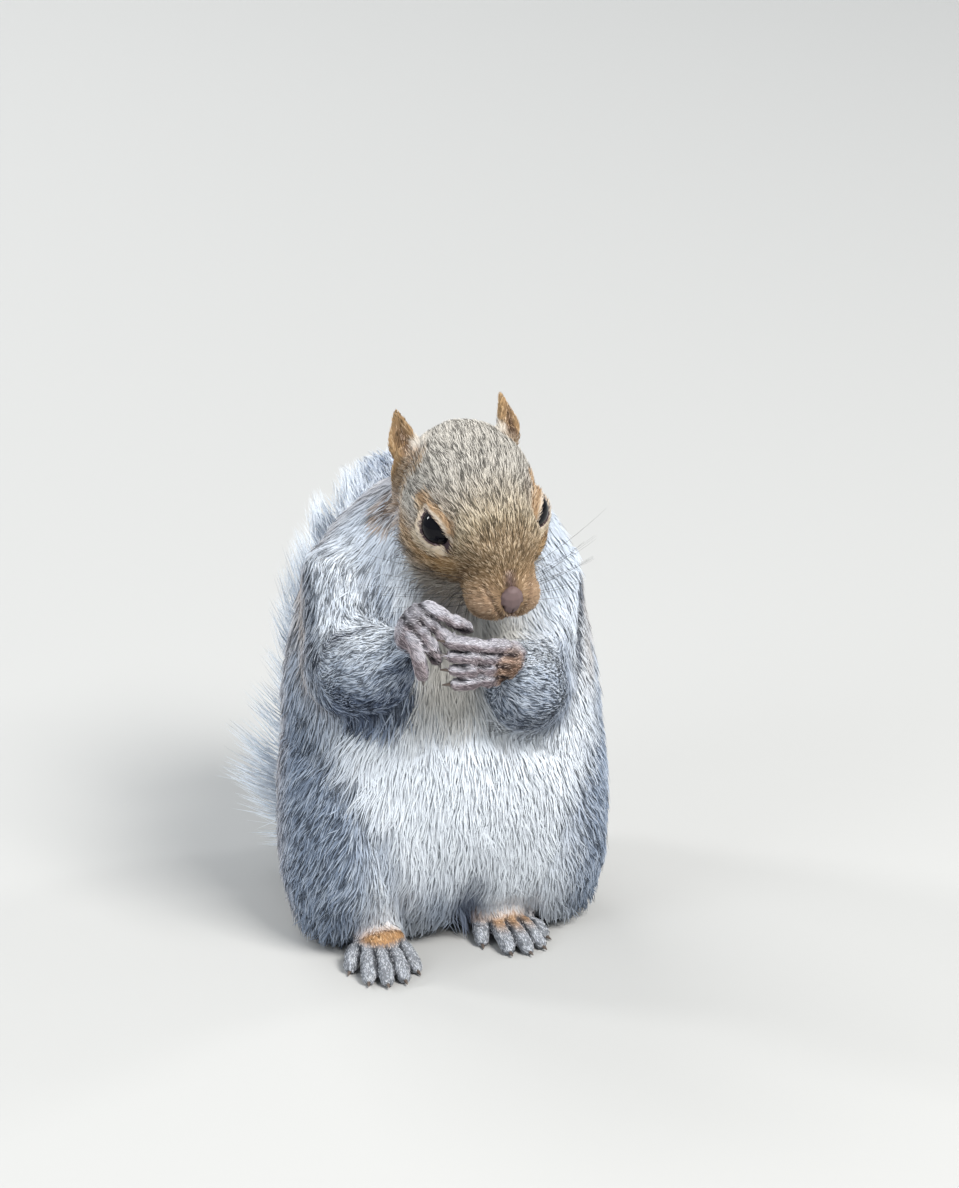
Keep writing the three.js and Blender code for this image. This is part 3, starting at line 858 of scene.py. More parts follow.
lay("head", unit(points - nose_tip) + 0.25 * np.array((0, 0.4, -0.2)))
for side, sign in (("left", 1), ("right", -1)):
    lay("ear", ear_axis[side], side)
    lay("haunch", unit((0.25 * sign, 0.42, -1)), side)
    lay("upper_arm", unit((0.05 * sign, -0.35, -1)), side)
    lay("forearm", unit(wrist[side] - elbow[side]), side)
    lay("forepaw", unit(claws_middle(f"forepaw_{side}") - wrist[side]), side)
    foot = f"hind_foot_{side}"
    lay("hind_foot", unit(claws_middle(foot) - middle_of(foot)), side)
core = along(stations, np.linspace(0, 1, 60))[:, :3]
CORE_STEP = 3  # every third point of the core is near enough
nearest = np.argmin(((points[:, None] - core[None, ::CORE_STEP]) ** 2).sum(-1), axis=1) * CORE_STEP
lay("tail", unit(np.gradient(core, axis=0))[nearest])
ahead = unit(ahead - normal * (ahead * normal).sum(1, keepdims=True))
ahead = spread(ahead, edges, 25, 0.7)
ahead = unit(ahead - normal * (ahead * normal).sum(1, keepdims=True))
table = spread(np.array([COAT[name] for name in PARTS])[part], edges, 10, 0.7)
hx, hy, hz = head_parts(points)
shares = spread((part[:, None] == np.arange(len(PARTS))).astype(float), edges, 12, 0.6)
print("directions laid for", len(points), "points")

# %% [markdown]
# Fingers and toes lie close together, and the fur between them is painted dark, partly for the dark
# skin there and partly as painted shade. A finger's line runs from its knuckle to its claw; where
# two lines are equally near there is a gap.

# %% The gaps between fingers and toes
KNUCKLES = {  # the first and the last knuckle of each hand
    "right": ((-17.5, -70.7, 133), (-24.9, -70.7, 127)),
    "left": ((7.6, -70.2, 118), (4.1, -70.2, 107)),
}
TOE_ROOTS = {  # the first and the last toe's root of each foot
    "right": ((-34.0, -36.0, 5), (-21.9, -37.4, 5)),
    "left": ((10.2, -19.6, 5), (22.1, -18.7, 5)),
}
FEET_BELOW = 30  # mm above the floor
GAP_WIDTHS = (1.7, 1.5)  # mm between toes, which stand further apart, and between fingers
digit_lines = []
for limb, ends_of in (("forepaw", KNUCKLES), ("hind_foot", TOE_ROOTS)):
    for side, (first_end, last_end) in ends_of.items():
        claws = [n for n in CLAWS if n.startswith(f"{limb}_{side}")]
        for n, name in enumerate(claws):
            base = np.array(first_end) + (np.array(last_end) - first_end) * n / (len(claws) - 1)
            digit_lines.append((base, middle_of(name)))
digit_lines = np.array(digit_lines)
print(f"{len(digit_lines)} fingers and toes")


def digit_gap(p):
    """1 where two fingers or toes are equally near, 0 on the middle of a finger."""
    base, run = digit_lines[:, 0], digit_lines[:, 1] - digit_lines[:, 0]
    t = np.clip(((p[:, None] - base) * run).sum(-1) / (run**2).sum(-1), 0, 1)
    away = np.sort(np.linalg.norm(p[:, None] - base - run * t[..., None], axis=-1), axis=1)
    wide = np.where(p[:, 2] < FEET_BELOW, *GAP_WIDTHS)
    return step(wide, 0.1, away[:, 1] - away[:, 0]) * step(6, 4, away[:, 0])


HOLLOW = (2.6, 6.5)  # half width and half length of an ear's hollow in mm


def ear_hollow(p, left):
    """1 in the hollow of an ear, 0 on its rim and its back."""
    hollow = np.zeros(len(p))
    for side in SIDES:
        here = left == (side == "left")
        low, high = corners(f"ear_{side}").min(0), corners(f"ear_{side}").max(0)
        q = p[here] - (low + high) / 2
        axis = ear_axis[side]
        across = unit(across_head - axis * across_head.dot(axis))
        along_ear, over_ear = q @ axis, q @ across
        half_wide, half_long = HOLLOW
        hollow[here] = np.exp(-(over_ear / half_wide) ** 2 - ((along_ear + 1.5) / half_long) ** 2)
    return hollow


# %% [markdown]
# An upper arm lies against the flank. Its outline is kept as a line with a width, because both the
# step at its edge and the markings need it.

# %% The outline of the upper arms
ARM_LINES = {"left": ((27, -16, 130), (21, -38, 90)), "right": ((-29, -18, 132), (-31, -42, 97))}
ARM_HALF_WIDTH = 15.5


def arm_edge(p):
    """How far outside the upper arms' outline a place is, in mm. It is negative on an arm."""
    return np.minimum(*(near_line(p, *ARM_LINES[side]) for side in SIDES)) - ARM_HALF_WIDTH


def arm_side(p):
    """1 along the outer side and the bottom of the upper arms, 0 over breast and shoulders."""
    return step(22, 28, np.abs(p[:, 0])) * step(84, 98, p[:, 2]) * step(136, 124, p[:, 2])


# %% [markdown]
# The coat's own sizes change inside the head too. It is shortest round the nose, the mouth and the
# eyes, short on the bridge of the nose, and longest on the cheeks and the nape.

# %% Shorter hair on the muzzle and none on the eyes
GAP_DEPTH = 0.3  # mm between two fingers
ARM_STEP = 1.6  # mm at the edge of an upper arm
OFF_FLOOR = 0.05  # mm between the skin and the floor, so that nothing is pressed into it
on_face = among("head")
muzzle = step(-4, -22, hy) * on_face
cheek = step(-4, -12, hz) * step(-14, -2, hy) * on_face
off_eyes = off_both_lids(points)
lids = step(3.4, 0.8, off_eyes)
shorter = (1 - 0.58 * muzzle) * (1 - 0.62 * lids)
table[:, LENGTH] *= shorter * (1 + 0.45 * cheek)
table[:, WIDTH] *= 1 - 0.3 * np.maximum(muzzle, lids)
hem = step(18, 10, points[:, 2]) * np.isin(part, [PARTS.index("trunk"), PARTS.index("haunch")])
over_foot = shares[:, PARTS.index("hind_foot")] > 0.02
for side in SIDES:
    ankle = middle_of(f"hind_foot_{side}")
    over_foot |= (np.abs(points[:, 0] - ankle[0]) < 11) & (points[:, 1] < ankle[1] + 6)
hem = hem * ~over_foot
table[:, LENGTH] *= (1 + 0.15 * hem) * (1 - 0.6 * over_foot * step(26, 14, points[:, 2]))
table[:, LIFT] *= 1 + 1.6 * hem  # the hem of the coat hangs down to the floor
table[:, DENSITY] *= 1 + 0.7 * np.maximum(muzzle, lids)
nose_reach = np.linalg.norm(points - nose_tip, axis=1)
gap = digit_gap(points) * np.isin(part, [PARTS.index("forepaw"), PARTS.index("hind_foot")])
table[:, DENSITY] *= 1 - 0.6 * gap
table[:, LENGTH] *= 1 - 0.4 * gap
points = points - normal * (GAP_DEPTH * gap)[:, None]

# The arm's outer edge stands against the flank with a soft step.
body_part = np.isin(part, [PARTS.index(n) for n in ("trunk", "neck", "upper_arm")])
edge_step = hill(1.5, 3.5, arm_edge(points)) * arm_side(points)
edge_step = edge_step * body_part * step(-0.2, 0.2, -normal[:, 1])
points = points - normal * (ARM_STEP * edge_step)[:, None]
points[:, 2] = np.maximum(points[:, 2], OFF_FLOOR)
write(mesh, points)
bare = np.maximum(step(0.35, 0.15, off_eyes), step(3.9, 3.3, nose_reach))
table[:, DENSITY] *= 1 - bare
table[:, LIFT] *= 1 + 0.9 * np.maximum(muzzle, lids)
shortest, longest = table[:, LENGTH].min(), table[:, LENGTH].max()
print(f"the coat's length runs from {shortest:.1f} to {longest:.1f} mm")

# %% [markdown]
# ## Markings
#
# A grey squirrel is grey only from a distance. Each hair is banded, dark and pale by turns, which
# gives the peppered look; the head and the back are brushed with tan, the belly is white. The
# function below is the one place that knows all this. The skin and every tuft ask it for their
# colour, so that what shows between two tufts is never a surprise.

# %% Paints


def paint(red, green, blue):
    """A colour as a painter names it, 0 to 255, in the linear light that a shader wants."""
    c = np.array((red, green, blue)) / 255
    return np.where(c < 0.04045, c / 12.92, ((c + 0.055) / 1.055) ** 2.4)


# The whites, greys, steel and slate all lean to blue: that blue is a painted reflection of a blue
# sky, as a grey squirrel's own grey is nearly neutral.
WHITE = paint(236, 243, 251)
PALE_BLUE = paint(204, 215, 230)
PALE_GREY = paint(184, 195, 212)
GREY = paint(128, 143, 166)
STEEL = paint(92, 104, 128)
SLATE = paint(62, 68, 82)
TAN = paint(172, 144, 108)
GOLD = paint(168, 130, 84)
CREAM = paint(224, 200, 160)
ASH = paint(164, 148, 122)
INK = paint(30, 27, 27)


def mixed(first, second, share):
    """The first colour with a share of the second one in it."""
    return first + np.clip(np.atleast_1d(share), 0, 1)[:, None] * (second - first)


# %% [markdown]
# In what follows, p holds places and out the skin's directions there. Each function gives colours
# and ticking: how strongly the hairs are banded, from 0 to 1. The body is white in front, peppered
# grey at the sides, and has a tan saddle from the nape to the rump.

# %% Markings of the body


def body_markings(p, out, haunch):
    """The body's colour and ticking, and where the pale shoulders are."""
    x, _, z = p.T
    facing = -out[:, 1]
    reach = 33 + 10 * step(50, 82, z)
    white = step(9, -9, np.abs(x - 2) - reach) * step(-0.08, 0.36, facing)
    saddle = step(40, 14, np.abs(x)) * step(0.0, 0.7, out[:, 1])
    tan = np.maximum(0.62 * saddle, 0.3 * step(0.3, -0.2, facing))
    grey = mixed(GREY, PALE_BLUE, 0.12 + 0.35 * step(78, 100, z))
    body = mixed(grey, TAN, tan)
    body = mixed(body, WHITE, white)
    throat_low = np.where(x < 0, 128, 106) + 0.35 * np.abs(x)
    streaked = throat_low + 5 * np.sin(x / 3.1) + 3 * np.sin(x / 1.3 + z / 9)
    shoulders = step(-8, 14, z - streaked) * step(0.35, -0.25, out[:, 1])
    shoulders = shoulders * np.where(x < 0, step(40, 25, -x + 2 * np.sin(z / 2.7)), 1)
    body = mixed(body, mixed(PALE_BLUE, WHITE, 0.35), shoulders)
    # Between the arms the chest is a creamy bib, and its paint is greyed as well as painted shade
    # under the hands.
    bib_low = 78 - 0.012 * x**2 + 2.5 * np.sin(x / 2.3)
    chest = white * step(bib_low, bib_low + 18, z) * step(132, 118, z) * step(26, 12, np.abs(x - 2))
    body = mixed(body, paint(192, 187, 176), 0.8 * chest)
    # Under the cheek the fur is browner, and it is painted darker still as painted shade under the
    # head.
    under_cheek = np.linalg.norm(p - on_head(-11, -6, -20), axis=1)
    body = mixed(body, paint(104, 96, 90), 0.8 * step(16, 6, under_cheek))
    # Between the legs and along the right leg the fur is painted grey and steel: painted shade in
    # the folds there.
    legs_fold_shade = step(42, 14, z) * np.clip(facing + 0.3, 0, 1)
    body = mixed(body, GREY, 0.75 * hill(-1, 17, x + 0.25 * z) * legs_fold_shade)
    body = mixed(body, STEEL, 0.9 * hill(4, 9, x) * legs_fold_shade)
    on_leg_line = hill(0, 5, near_line(p[:, [0, 2]], *LEG_LINE))
    body = mixed(body, GREY, 0.5 * on_leg_line * np.clip(facing, 0, 1))
    # A line of painted shade where each thigh meets the belly.
    thigh_shade = 4 * haunch * (1 - haunch) * step(-0.7, -0.2, facing)
    thigh_shade = thigh_shade * step(20, 40, z) * (1 - white)
    body = mixed(body, SLATE, 0.4 * thigh_shade)
    return body, 0.75 * (1 - white) * (1 - 0.6 * shoulders), shoulders


# %% [markdown]
# The arms are peppered grey, with the coat's painted sky-blue tint in it. Painted shade darkens
# them under the elbow, a painted shadow runs along the outer edge, and a painted highlight pales
# their tops. As an upper arm lies on the flank, its markings run on over the body beside it.

# %% Markings of the arms


def arm_markings(p, out, body, ticks, shoulders):
    """The body's colour and ticking with the painted shadow along the arms' edges in it, then the
    arms' colour with painted shade and highlight in it, and how far behind its edge a place on an
    upper arm is, from 0 to 1."""
    x, _, z = p.T
    facing = -out[:, 1]
    on_arm = step(1.5, -2.0, arm_edge(p)) * step(-0.2, 0.2, facing)
    on_arm = on_arm * step(74, 84, z) * step(5, 12, np.abs(x - 2))
    on_arm = on_arm * (1 - 0.85 * shoulders) * np.where(x > 0, 0.5, 1)
    # A painted shadow runs along the outer edge of each upper arm, both on the arm and on the flank
    # beside it.
    edge_shadow = hill(1.0, 3.0, arm_edge(p)) * step(-0.5, 0.0, facing) * arm_side(p)
    # Painted shade darkens the underside and the lower part of each arm, and a painted highlight
    # pales the side that faces up.
    under = np.maximum(step(0.25, -0.7, out[:, 2]), 0.8 * step(112, 88, z + 4 * np.sin(x / 2.1)))
    steel = mixed(mixed(PALE_BLUE, GREY, 0.25 + 0.75 * under), STEEL, 0.9 * under**2)
    steel = mixed(steel, WHITE, 0.55 * step(0.25, 0.8, out[:, 2]))
    # The left arm is painted paler, as painted light falling on that side.
    steel = mixed(steel, PALE_BLUE, 0.3 * (x > 0))
    elbow_shadow = edge_shadow * step(96, 110, z)
    steel = mixed(steel, SLATE, 0.9 * elbow_shadow)
    behind = step(0.0, 3.0, arm_edge(p)) * arm_side(p)
    back_fur = mixed(body, TAN, 0.35 * hill(8, 7, arm_edge(p)) * arm_side(p))
    body = mixed(mixed(back_fur, steel, on_arm), SLATE, 0.95 * edge_shadow)
    return body, np.maximum(ticks, on_arm), steel, behind


# %% [markdown]
# The fingers are greyish white and the feet grey, with painted shade in the gaps. There is an
# orange patch at the left wrist and on each instep.

# %% Markings of the paws
PAW_TICKS = 0.85


def paw_markings(p, out):
    """A forepaw's colour and ticking, and a hind foot's."""
    x, _, z = p.T
    between = digit_gap(p)
    hand = mixed(paint(218, 216, 226), paint(176, 162, 168), step(0.5, -0.3, out[:, 2]))
    at_wrist = step(8.5, 4.5, np.linalg.norm(p - wrist["left"] - (1, -4, 3), axis=1))
    hand = mixed(hand, paint(170, 134, 106), 0.85 * at_wrist)
    # Painted shade fills the gaps between the fingers here and between the toes below.
    hand = mixed(hand, paint(34, 30, 36), 0.97 * between)
    instep = step(6.5, 9, z + np.sign(x)) * step(20, 14, z)
    foot = mixed(paint(196, 201, 210), paint(190, 144, 94), 0.95 * instep)
    foot = mixed(foot, paint(38, 40, 48), 0.95 * between)
    return (hand, np.full(len(p), PAW_TICKS)), (foot, 0.95 - 0.5 * instep)


# %% [markdown]
# The head has a peppered ash crown and golden sides. The muzzle is pale over the whisker pads and
# painted dark in every crease as painted shade, the low cheek and the throat are darkened partly as
# painted shade under the head, and a cream ring with a dark line round it makes the eye look large.

# %% Markings of the head


def head_markings(p):
    """The head's colour and ticking."""
    across, back, over = head_parts(p)
    crown = mixed(ASH, paint(188, 183, 174), step(-12, 10, back))
    low_side = step(3, -7, over + 0.25 * back)
    head = mixed(crown, GOLD, 0.8 * low_side)
    head = mixed(head, paint(132, 110, 84), 0.8 * step(-8, -16, back))
    # The low cheek is greyish brown, and painted darker as well as painted shade under the head.
    head = mixed(head, paint(98, 88, 78), 0.85 * step(-6, -13, over) * step(-17, -9, back))
    pads = np.exp(-((np.abs(across) - 7.4) ** 2 + (back + 24.5) ** 2 + (over + 8.5) ** 2) / 34)
    pads = np.maximum(pads, step(-11, -14, over) * step(-17, -21, back))
    head = mixed(head, paint(190, 160, 132), 0.95 * pads)
    # Painted shade in the crease from the eye's front corner down to the whisker pad.
    crease = hill(-13.4, 2.6, back + 0.35 * (over + 8))
    crease = crease * step(1, -5, over) * step(3, 8, np.abs(across))
    head = mixed(head, paint(84, 62, 42), 0.75 * crease)
    # The throat under the chin is greyed: its fur is pale, and the grey is painted shade under the
    # head.
    throat = step(-13, -18, over) * step(-16, -6, back)
    head = mixed(head, paint(168, 158, 146), throat)
    off = off_both_lids(p)
    low = step(3.5, -2.5, over - EYE_SETTING[1])
    ring_wide = 3.2 + 1.2 * step(-3, 4, back)
    ring = mixed(paint(178, 148, 116), paint(224, 206, 178), low)
    ring = mixed(ring, paint(228, 214, 196), hill(0.9, 0.8, off))
    round_ring = (0.4 + 0.45 * step(-2, -8, back)) * hill(ring_wide + 1, 2.2, off)
    head = mixed(head, paint(88, 66, 50), round_ring)
    head = mixed(head, ring, step(0.2, 0.5, off) * step(ring_wide + 0.6, ring_wide - 0.6, off))
    head = mixed(head, paint(80, 66, 70), step(0.4, 0.2, off))
    # Painted shade in the groove under the nose, between the lips and beside the nose.
    head = mixed(head, paint(70, 48, 40), 0.85 * mouth_mask(across, back, over))
    head = mixed(head, paint(70, 50, 42), 0.6 * beside_nose(across, back, over))
    above_leather = hill(0, 2.8, across) * step(-20, -22.5, back)
    above_leather = above_leather * step(3, 0, over) * step(-14, -10, over)
    head = mixed(head, paint(112, 92, 88), 0.85 * above_leather)
    bridge = step(-8, -17, back)
    peppered = step(1.8, 3.6, off) * (1 - 0.35 * low_side) * (1 - 0.4 * bridge) * (1 - pads)
    return head, 0.12 + 0.88 * peppered


# %% [markdown]
# The ears are tan with a pale rim, and dark in the hollow: partly its own skin, partly painted
# shade.
# Below each ear its rim runs on down the cheek, darker on its front as painted shade of the hollow
# there, with a golden line before it and a painted shadow behind it, and a pale patch lies at its
# foot.
#
# The last function asks all the others. A place near the edge of two parts gets a share of both
# colours, so no part ends at a line.

# %% Markings of the ears, and all together
EAR_PATCH = (12.0, 28.5, 8.5)  # its middle, on the head
ARM_TICKS, EAR_TICKS = 0.85, 0.25


def ear_markings(p, out, left):
    """The ears' colour, and the golden line and the shadow beside the rims, each from 0 to 1."""
    facing = -out[:, 1]
    off_rim = off_rims(p)
    shadow = hill(1.4, 2.0, off_rim) * step(-0.3, 0.1, facing)
    golden = hill(5.0, 2.6, off_rim) * step(-0.3, 0.1, facing)
    golden = golden * step(12, 16, np.abs(head_parts(p)[0]))
    hollow = ear_hollow(p, left)
    # The hollow is painted dark: partly its own skin, partly painted shade.
    ear = mixed(paint(192, 158, 116), paint(84, 64, 54), 0.9 * hollow * step(-0.1, 0.3, facing))
    # The front of the rim below the ear is painted darker, as painted shade of the hollow there.
    ear = mixed(ear, paint(92, 72, 62), 0.5 * step(0.5, -0.5, off_rim) * step(0.0, 0.5, facing))
    return ear, golden, shadow


def markings(p, out, shares, left):
    """The coat's colour at many places, and how strongly it is ticked there, from 0 to 1."""
    body, ticks, shoulders = body_markings(p, out, shares[:, PARTS.index("haunch")])
    body, ticks, arm, behind = arm_markings(p, out, body, ticks, shoulders)
    layers = {name: (body, ticks) for name in ("trunk", "neck", "haunch", "tail")}
    layers["forearm"] = (arm, np.full(len(p), ARM_TICKS))
    upper = mixed(mixed(arm, body, behind), body, shoulders)
    layers["upper_arm"] = (upper, ARM_TICKS - 0.3 * np.maximum(behind, shoulders))
    layers["forepaw"], layers["hind_foot"] = paw_markings(p, out)
    layers["head"] = head_markings(p)
    ear, golden, shadow = ear_markings(p, out, left)
    layers["ear"] = (ear, np.full(len(p), EAR_TICKS))
    for name in ("head", "neck"):
        colour, ticking = layers[name]
        colour = mixed(mixed(colour, GOLD, 0.7 * golden), paint(60, 42, 38), 0.95 * shadow)
        layers[name] = (colour, ticking * (1 - 0.7 * golden))
    across, back, over = head_parts(p)
    off_middle = (np.abs(across) - EAR_PATCH[0], back - EAR_PATCH[1], over - EAR_PATCH[2])
    patch = np.linalg.norm(np.stack(off_middle), axis=0)
    colour = sum(shares[:, [n]] * layers[name][0] for n, name in enumerate(PARTS))
    ticking = sum(shares[:, n] * layers[name][1] for n, name in enumerate(PARTS))
    colour = mixed(colour, mixed(WHITE, CREAM, 0.5), 0.85 * step(5.2, 2.8, patch))
    ticking = ticking * step(2.8, 5.2, patch)
    return colour, ticking

# %% [markdown]
# ## From one tuft to a coat
#
# A tuft is a thin spike with three sides, which bends over to lie along the body. Making a hundred
# thousand of them one by one would take minutes, so numpy makes them all at once: one table holds
# the middle line of every tuft, and each corner of every ring is worked out from it together.
#
# A spike's flat sides would each catch the light like a knife. Real hairs are far finer, and a coat
# shades like the body under it, so each tuft is given normals that mostly follow the skin's.

# %% Scatter roots over the skin
# The skin is laid out flat by its own shape, in the map that the colours are kept by.
alone(skin)
mesh.uv_layers.new(name="OFBake")
bpy.ops.object.mode_set(mode="EDIT")
bpy.ops.mesh.select_all(action="SELECT")
bpy.ops.uv.smart_project(angle_limit=math.radians(66), island_margin=0.0005)
bpy.ops.object.mode_set(mode="OBJECT")
triangle_points = triangles_of(mesh)
triangle_loops = triangles_of(mesh, "loops")
flat = np.empty(len(mesh.loops) * 2, np.float32)
mesh.uv_layers["OFBake"].data.foreach_get("uv", flat)
loop_place = flat.reshape(-1, 2)
first, second, third = points[triangle_points].transpose(1, 0, 2)
triangle_area = np.linalg.norm(np.cross(second - first, third - first), axis=1) / 2
FEWER = 1.0  # share of the tufts that are made
print(f"{triangle_area.sum() / 100:.0f} square cm of skin")


def scatter(weight):
    """Random places on the skin, weight of them to a square mm, with all that is known there."""
    share = triangle_area * weight[triangle_points].mean(1) * FEWER
    number = int(share.sum())
    evenly = (np.arange(number) + chance.random(number)) / number
    chosen = np.searchsorted(np.cumsum(share) / share.sum(), evenly)
    chosen = np.minimum(chosen, len(triangle_area) - 1)
    a, b = chance.random(number), chance.random(number)
    a, b = np.where(a + b > 1, 1 - a, a), np.where(a + b > 1, 1 - b, b)
    share = np.stack((1 - a - b, a, b), axis=1)[..., None]
    of = triangle_points[chosen]
    main = of[np.arange(number), np.argmax(share[..., 0], axis=1)]
    return {
        "root": (points[of] * share).sum(1),
        "up": unit((normal[of] * share).sum(1)),
        "ahead": unit((ahead[of] * share).sum(1)),
        "table": (table[of] * share).sum(1),
        "place": (loop_place[triangle_loops[chosen]] * share).sum(1),
        "shares": (shares[of] * share).sum(1),
        "left": left[main],
    }


# %% Comb the tufts down and let them wander
skin_surface = BVHTree.FromPolygons(points.tolist(), triangle_points.tolist())
WAVE_COUNT = 6
WAVES = chance.normal(0, 1, (WAVE_COUNT, 3))
PHASES = chance.random(WAVE_COUNT) * 2 * math.pi


def ripple(p, wavelength, turn=0.0):
    """A smooth wandering between about -1 and 1, the same for places that are close together."""
    waves = unit(WAVES) * (2 * math.pi / wavelength) * np.linspace(0.7, 1.5, WAVE_COUNT)[:, None]
    return np.sin(p @ waves.T + PHASES + turn).sum(1) / 2.6


def combed(place, height):
    """The places, but no higher over the skin than height, and never under it."""
    kept = np.empty_like(place)
    for n, (p, h) in enumerate(zip(place.tolist(), height)):
        near, out, _, far = skin_surface.find_nearest(p)
        off = Vector(p) - near
        if off.dot(out) < 0 or far < 1e-6:
            kept[n] = near + out * (0.6 * h)
        else:
            kept[n] = near + off * (min(far, h) / far)
    return kept


# %% Build tufts from their middle lines
PATCH = 0.0015  # half a tuft's patch on the map
THICK = 0.45  # a tuft's thickness as a share of its width
SIDE_LIGHT = 0.45  # how much a tuft's own roundness shows in its shading
PIECE_LIMIT = 190000  # triangles
coat_material = tinted_material("coat_hair", (0.5, 0.5, 0.5), 0.7, Specular_IOR_Level=0.15)


def tuft_meshes(name, lines, side, up, widths, colours, place, covers, soft=True):
    """Closed three-sided spikes. lines and colours have one row for each ring and one for the tip.
    A soft coat is shaded like the skin under it."""
    rings = lines.shape[1] - 1
    count = len(lines)
    each = rings * 3 + 1
    faces = [(0, 1, 2)]
    for r in range(rings - 1):
        for i, j in ((0, 2), (2, 1), (1, 0)):
            a, b = r * 3 + i, r * 3 + j
            faces += [(a, b, b + 3), (a, b + 3, a + 3)]
    last = (rings - 1) * 3
    faces += [(last + i, last + j, rings * 3) for i, j in ((0, 2), (2, 1), (1, 0))]
    faces = np.array(faces)
    half = widths[:, :, None] * side[:, None] / 2
    ridge = widths[:, :, None] * up[:, None] * THICK
    middle = lines[:, :-1]
    ring_points = np.stack((middle - half, middle + half, middle + ridge), axis=2)
    corner = np.concatenate((ring_points.reshape(count, -1, 3), lines[:, -1:]), axis=1)
    lean = np.append(np.tile((-SIDE_LIGHT, SIDE_LIGHT, 0.0), rings), 0.0)
    lit = unit(up[:, None] + lean[:, None] * side[:, None])
    shade = np.concatenate((np.repeat(colours[:, :-1], 3, axis=1), colours[:, -1:]), axis=1)
    t = np.append(np.repeat(np.arange(rings) / rings, 3), 1.0)
    u = np.append(np.tile((-1.0, 1.0, 0.0), rings), 0.0)
    spot = place[:, None] + PATCH * np.stack((u, 2 * t - 1), axis=1)
    batches = max(1, math.ceil(count * len(faces) / PIECE_LIMIT))
    for batch, some in enumerate(np.array_split(np.arange(count), batches)):
        index = (np.arange(len(some)) * each)[:, None, None] + faces
        piece = make_mesh(f"{name}_{batch + 1}", corner[some].reshape(-1, 3), index.reshape(-1, 3))
        tint_points(piece.data, shade[some].reshape(-1, 3))
        layer = piece.data.uv_layers.new(name="OFBake")
        layer.data.foreach_set("uv", spot[some][:, faces.ravel()].astype(np.float32).ravel())
        piece.data.materials.append(coat_material)
        if soft:
            piece.data.normals_split_custom_set_from_vertices(lit[some].reshape(-1, 3))
        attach(piece, "root")
        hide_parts(*covers)
    print(f"{name}: {count} tufts, {count * len(faces)} triangles, {batches} pieces")

# %% [markdown]
# Hairs don't stand alone. A few that grow together lean on one another, end in one point and carry
# the same band of colour, and that is what the eye sees as flecks and strands.

# %% Lay the coat


def in_locks(place, locks):
    """For each hair, the number of the hair that leads its lock: the nearest of some, by chance."""
    leaders = chance.choice(len(place), max(int(locks), 1), replace=False)
    found = KDTree(len(leaders))
    for leader in leaders.tolist():
        found.insert(place[leader].tolist(), leader)
    found.balance()
    return np.array([found.find(spot)[1] for spot in place.tolist()])


PALE_TIP = paint(240, 239, 236)
OWN_MIND = 0.3  # share of the tufts that don't take the colour of their lock
BRIGHTEST = 0.94  # no hair is a purer white than this


def ticked(colour, ticking, leader):
    """Root, middle and tip colours. A ticked hair is pale over a dark band, or dark at the tip."""
    count = len(colour)
    lot = chance.random(count)
    lot = np.where(chance.random(count) < OWN_MIND, lot, lot[leader])
    banded = (lot < 0.46 * ticking)[:, None]
    dark_tipped = (lot > 1 - 0.36 * ticking)[:, None]
    uneven = (1 + (0.03 + 0.1 * ticking) * chance.standard_normal(count))[:, None]
    body = colour * np.clip(uneven, 0.7, 1.3)
    pale = PALE_TIP * (colour / colour.mean(1, keepdims=True)) ** 0.6
    plain_tip = np.where(dark_tipped, body * 0.12, body * 0.95)
    plain_middle = np.where(dark_tipped, body * 0.4, body * 0.9)
    tip = np.where(banded, 0.25 * body + 0.75 * pale, plain_tip)
    middle = np.where(banded, 0.55 * body + 0.25 * pale, plain_middle)
    # Roots are darker where the coat is banded: partly the hair's own grey base, partly painted
    # shade deep in the coat.
    root = body * (0.95 - 0.6 * ticking)[:, None]
    return np.clip(np.stack((root, middle, tip), axis=1), 0, BRIGHTEST)


RINGS = 2  # of a tuft of the coat, besides its tip
DRAWN = 0.4  # how far a tuft's tip is drawn over to its leader's
ROOT_DEPTH = 0.25  # mm that a root stands in the skin, at most
OVER_SKIN = 0.05  # mm that the rest of a tuft always keeps above it
HEM = 0.3  # mm between the lowest hairs and the floor


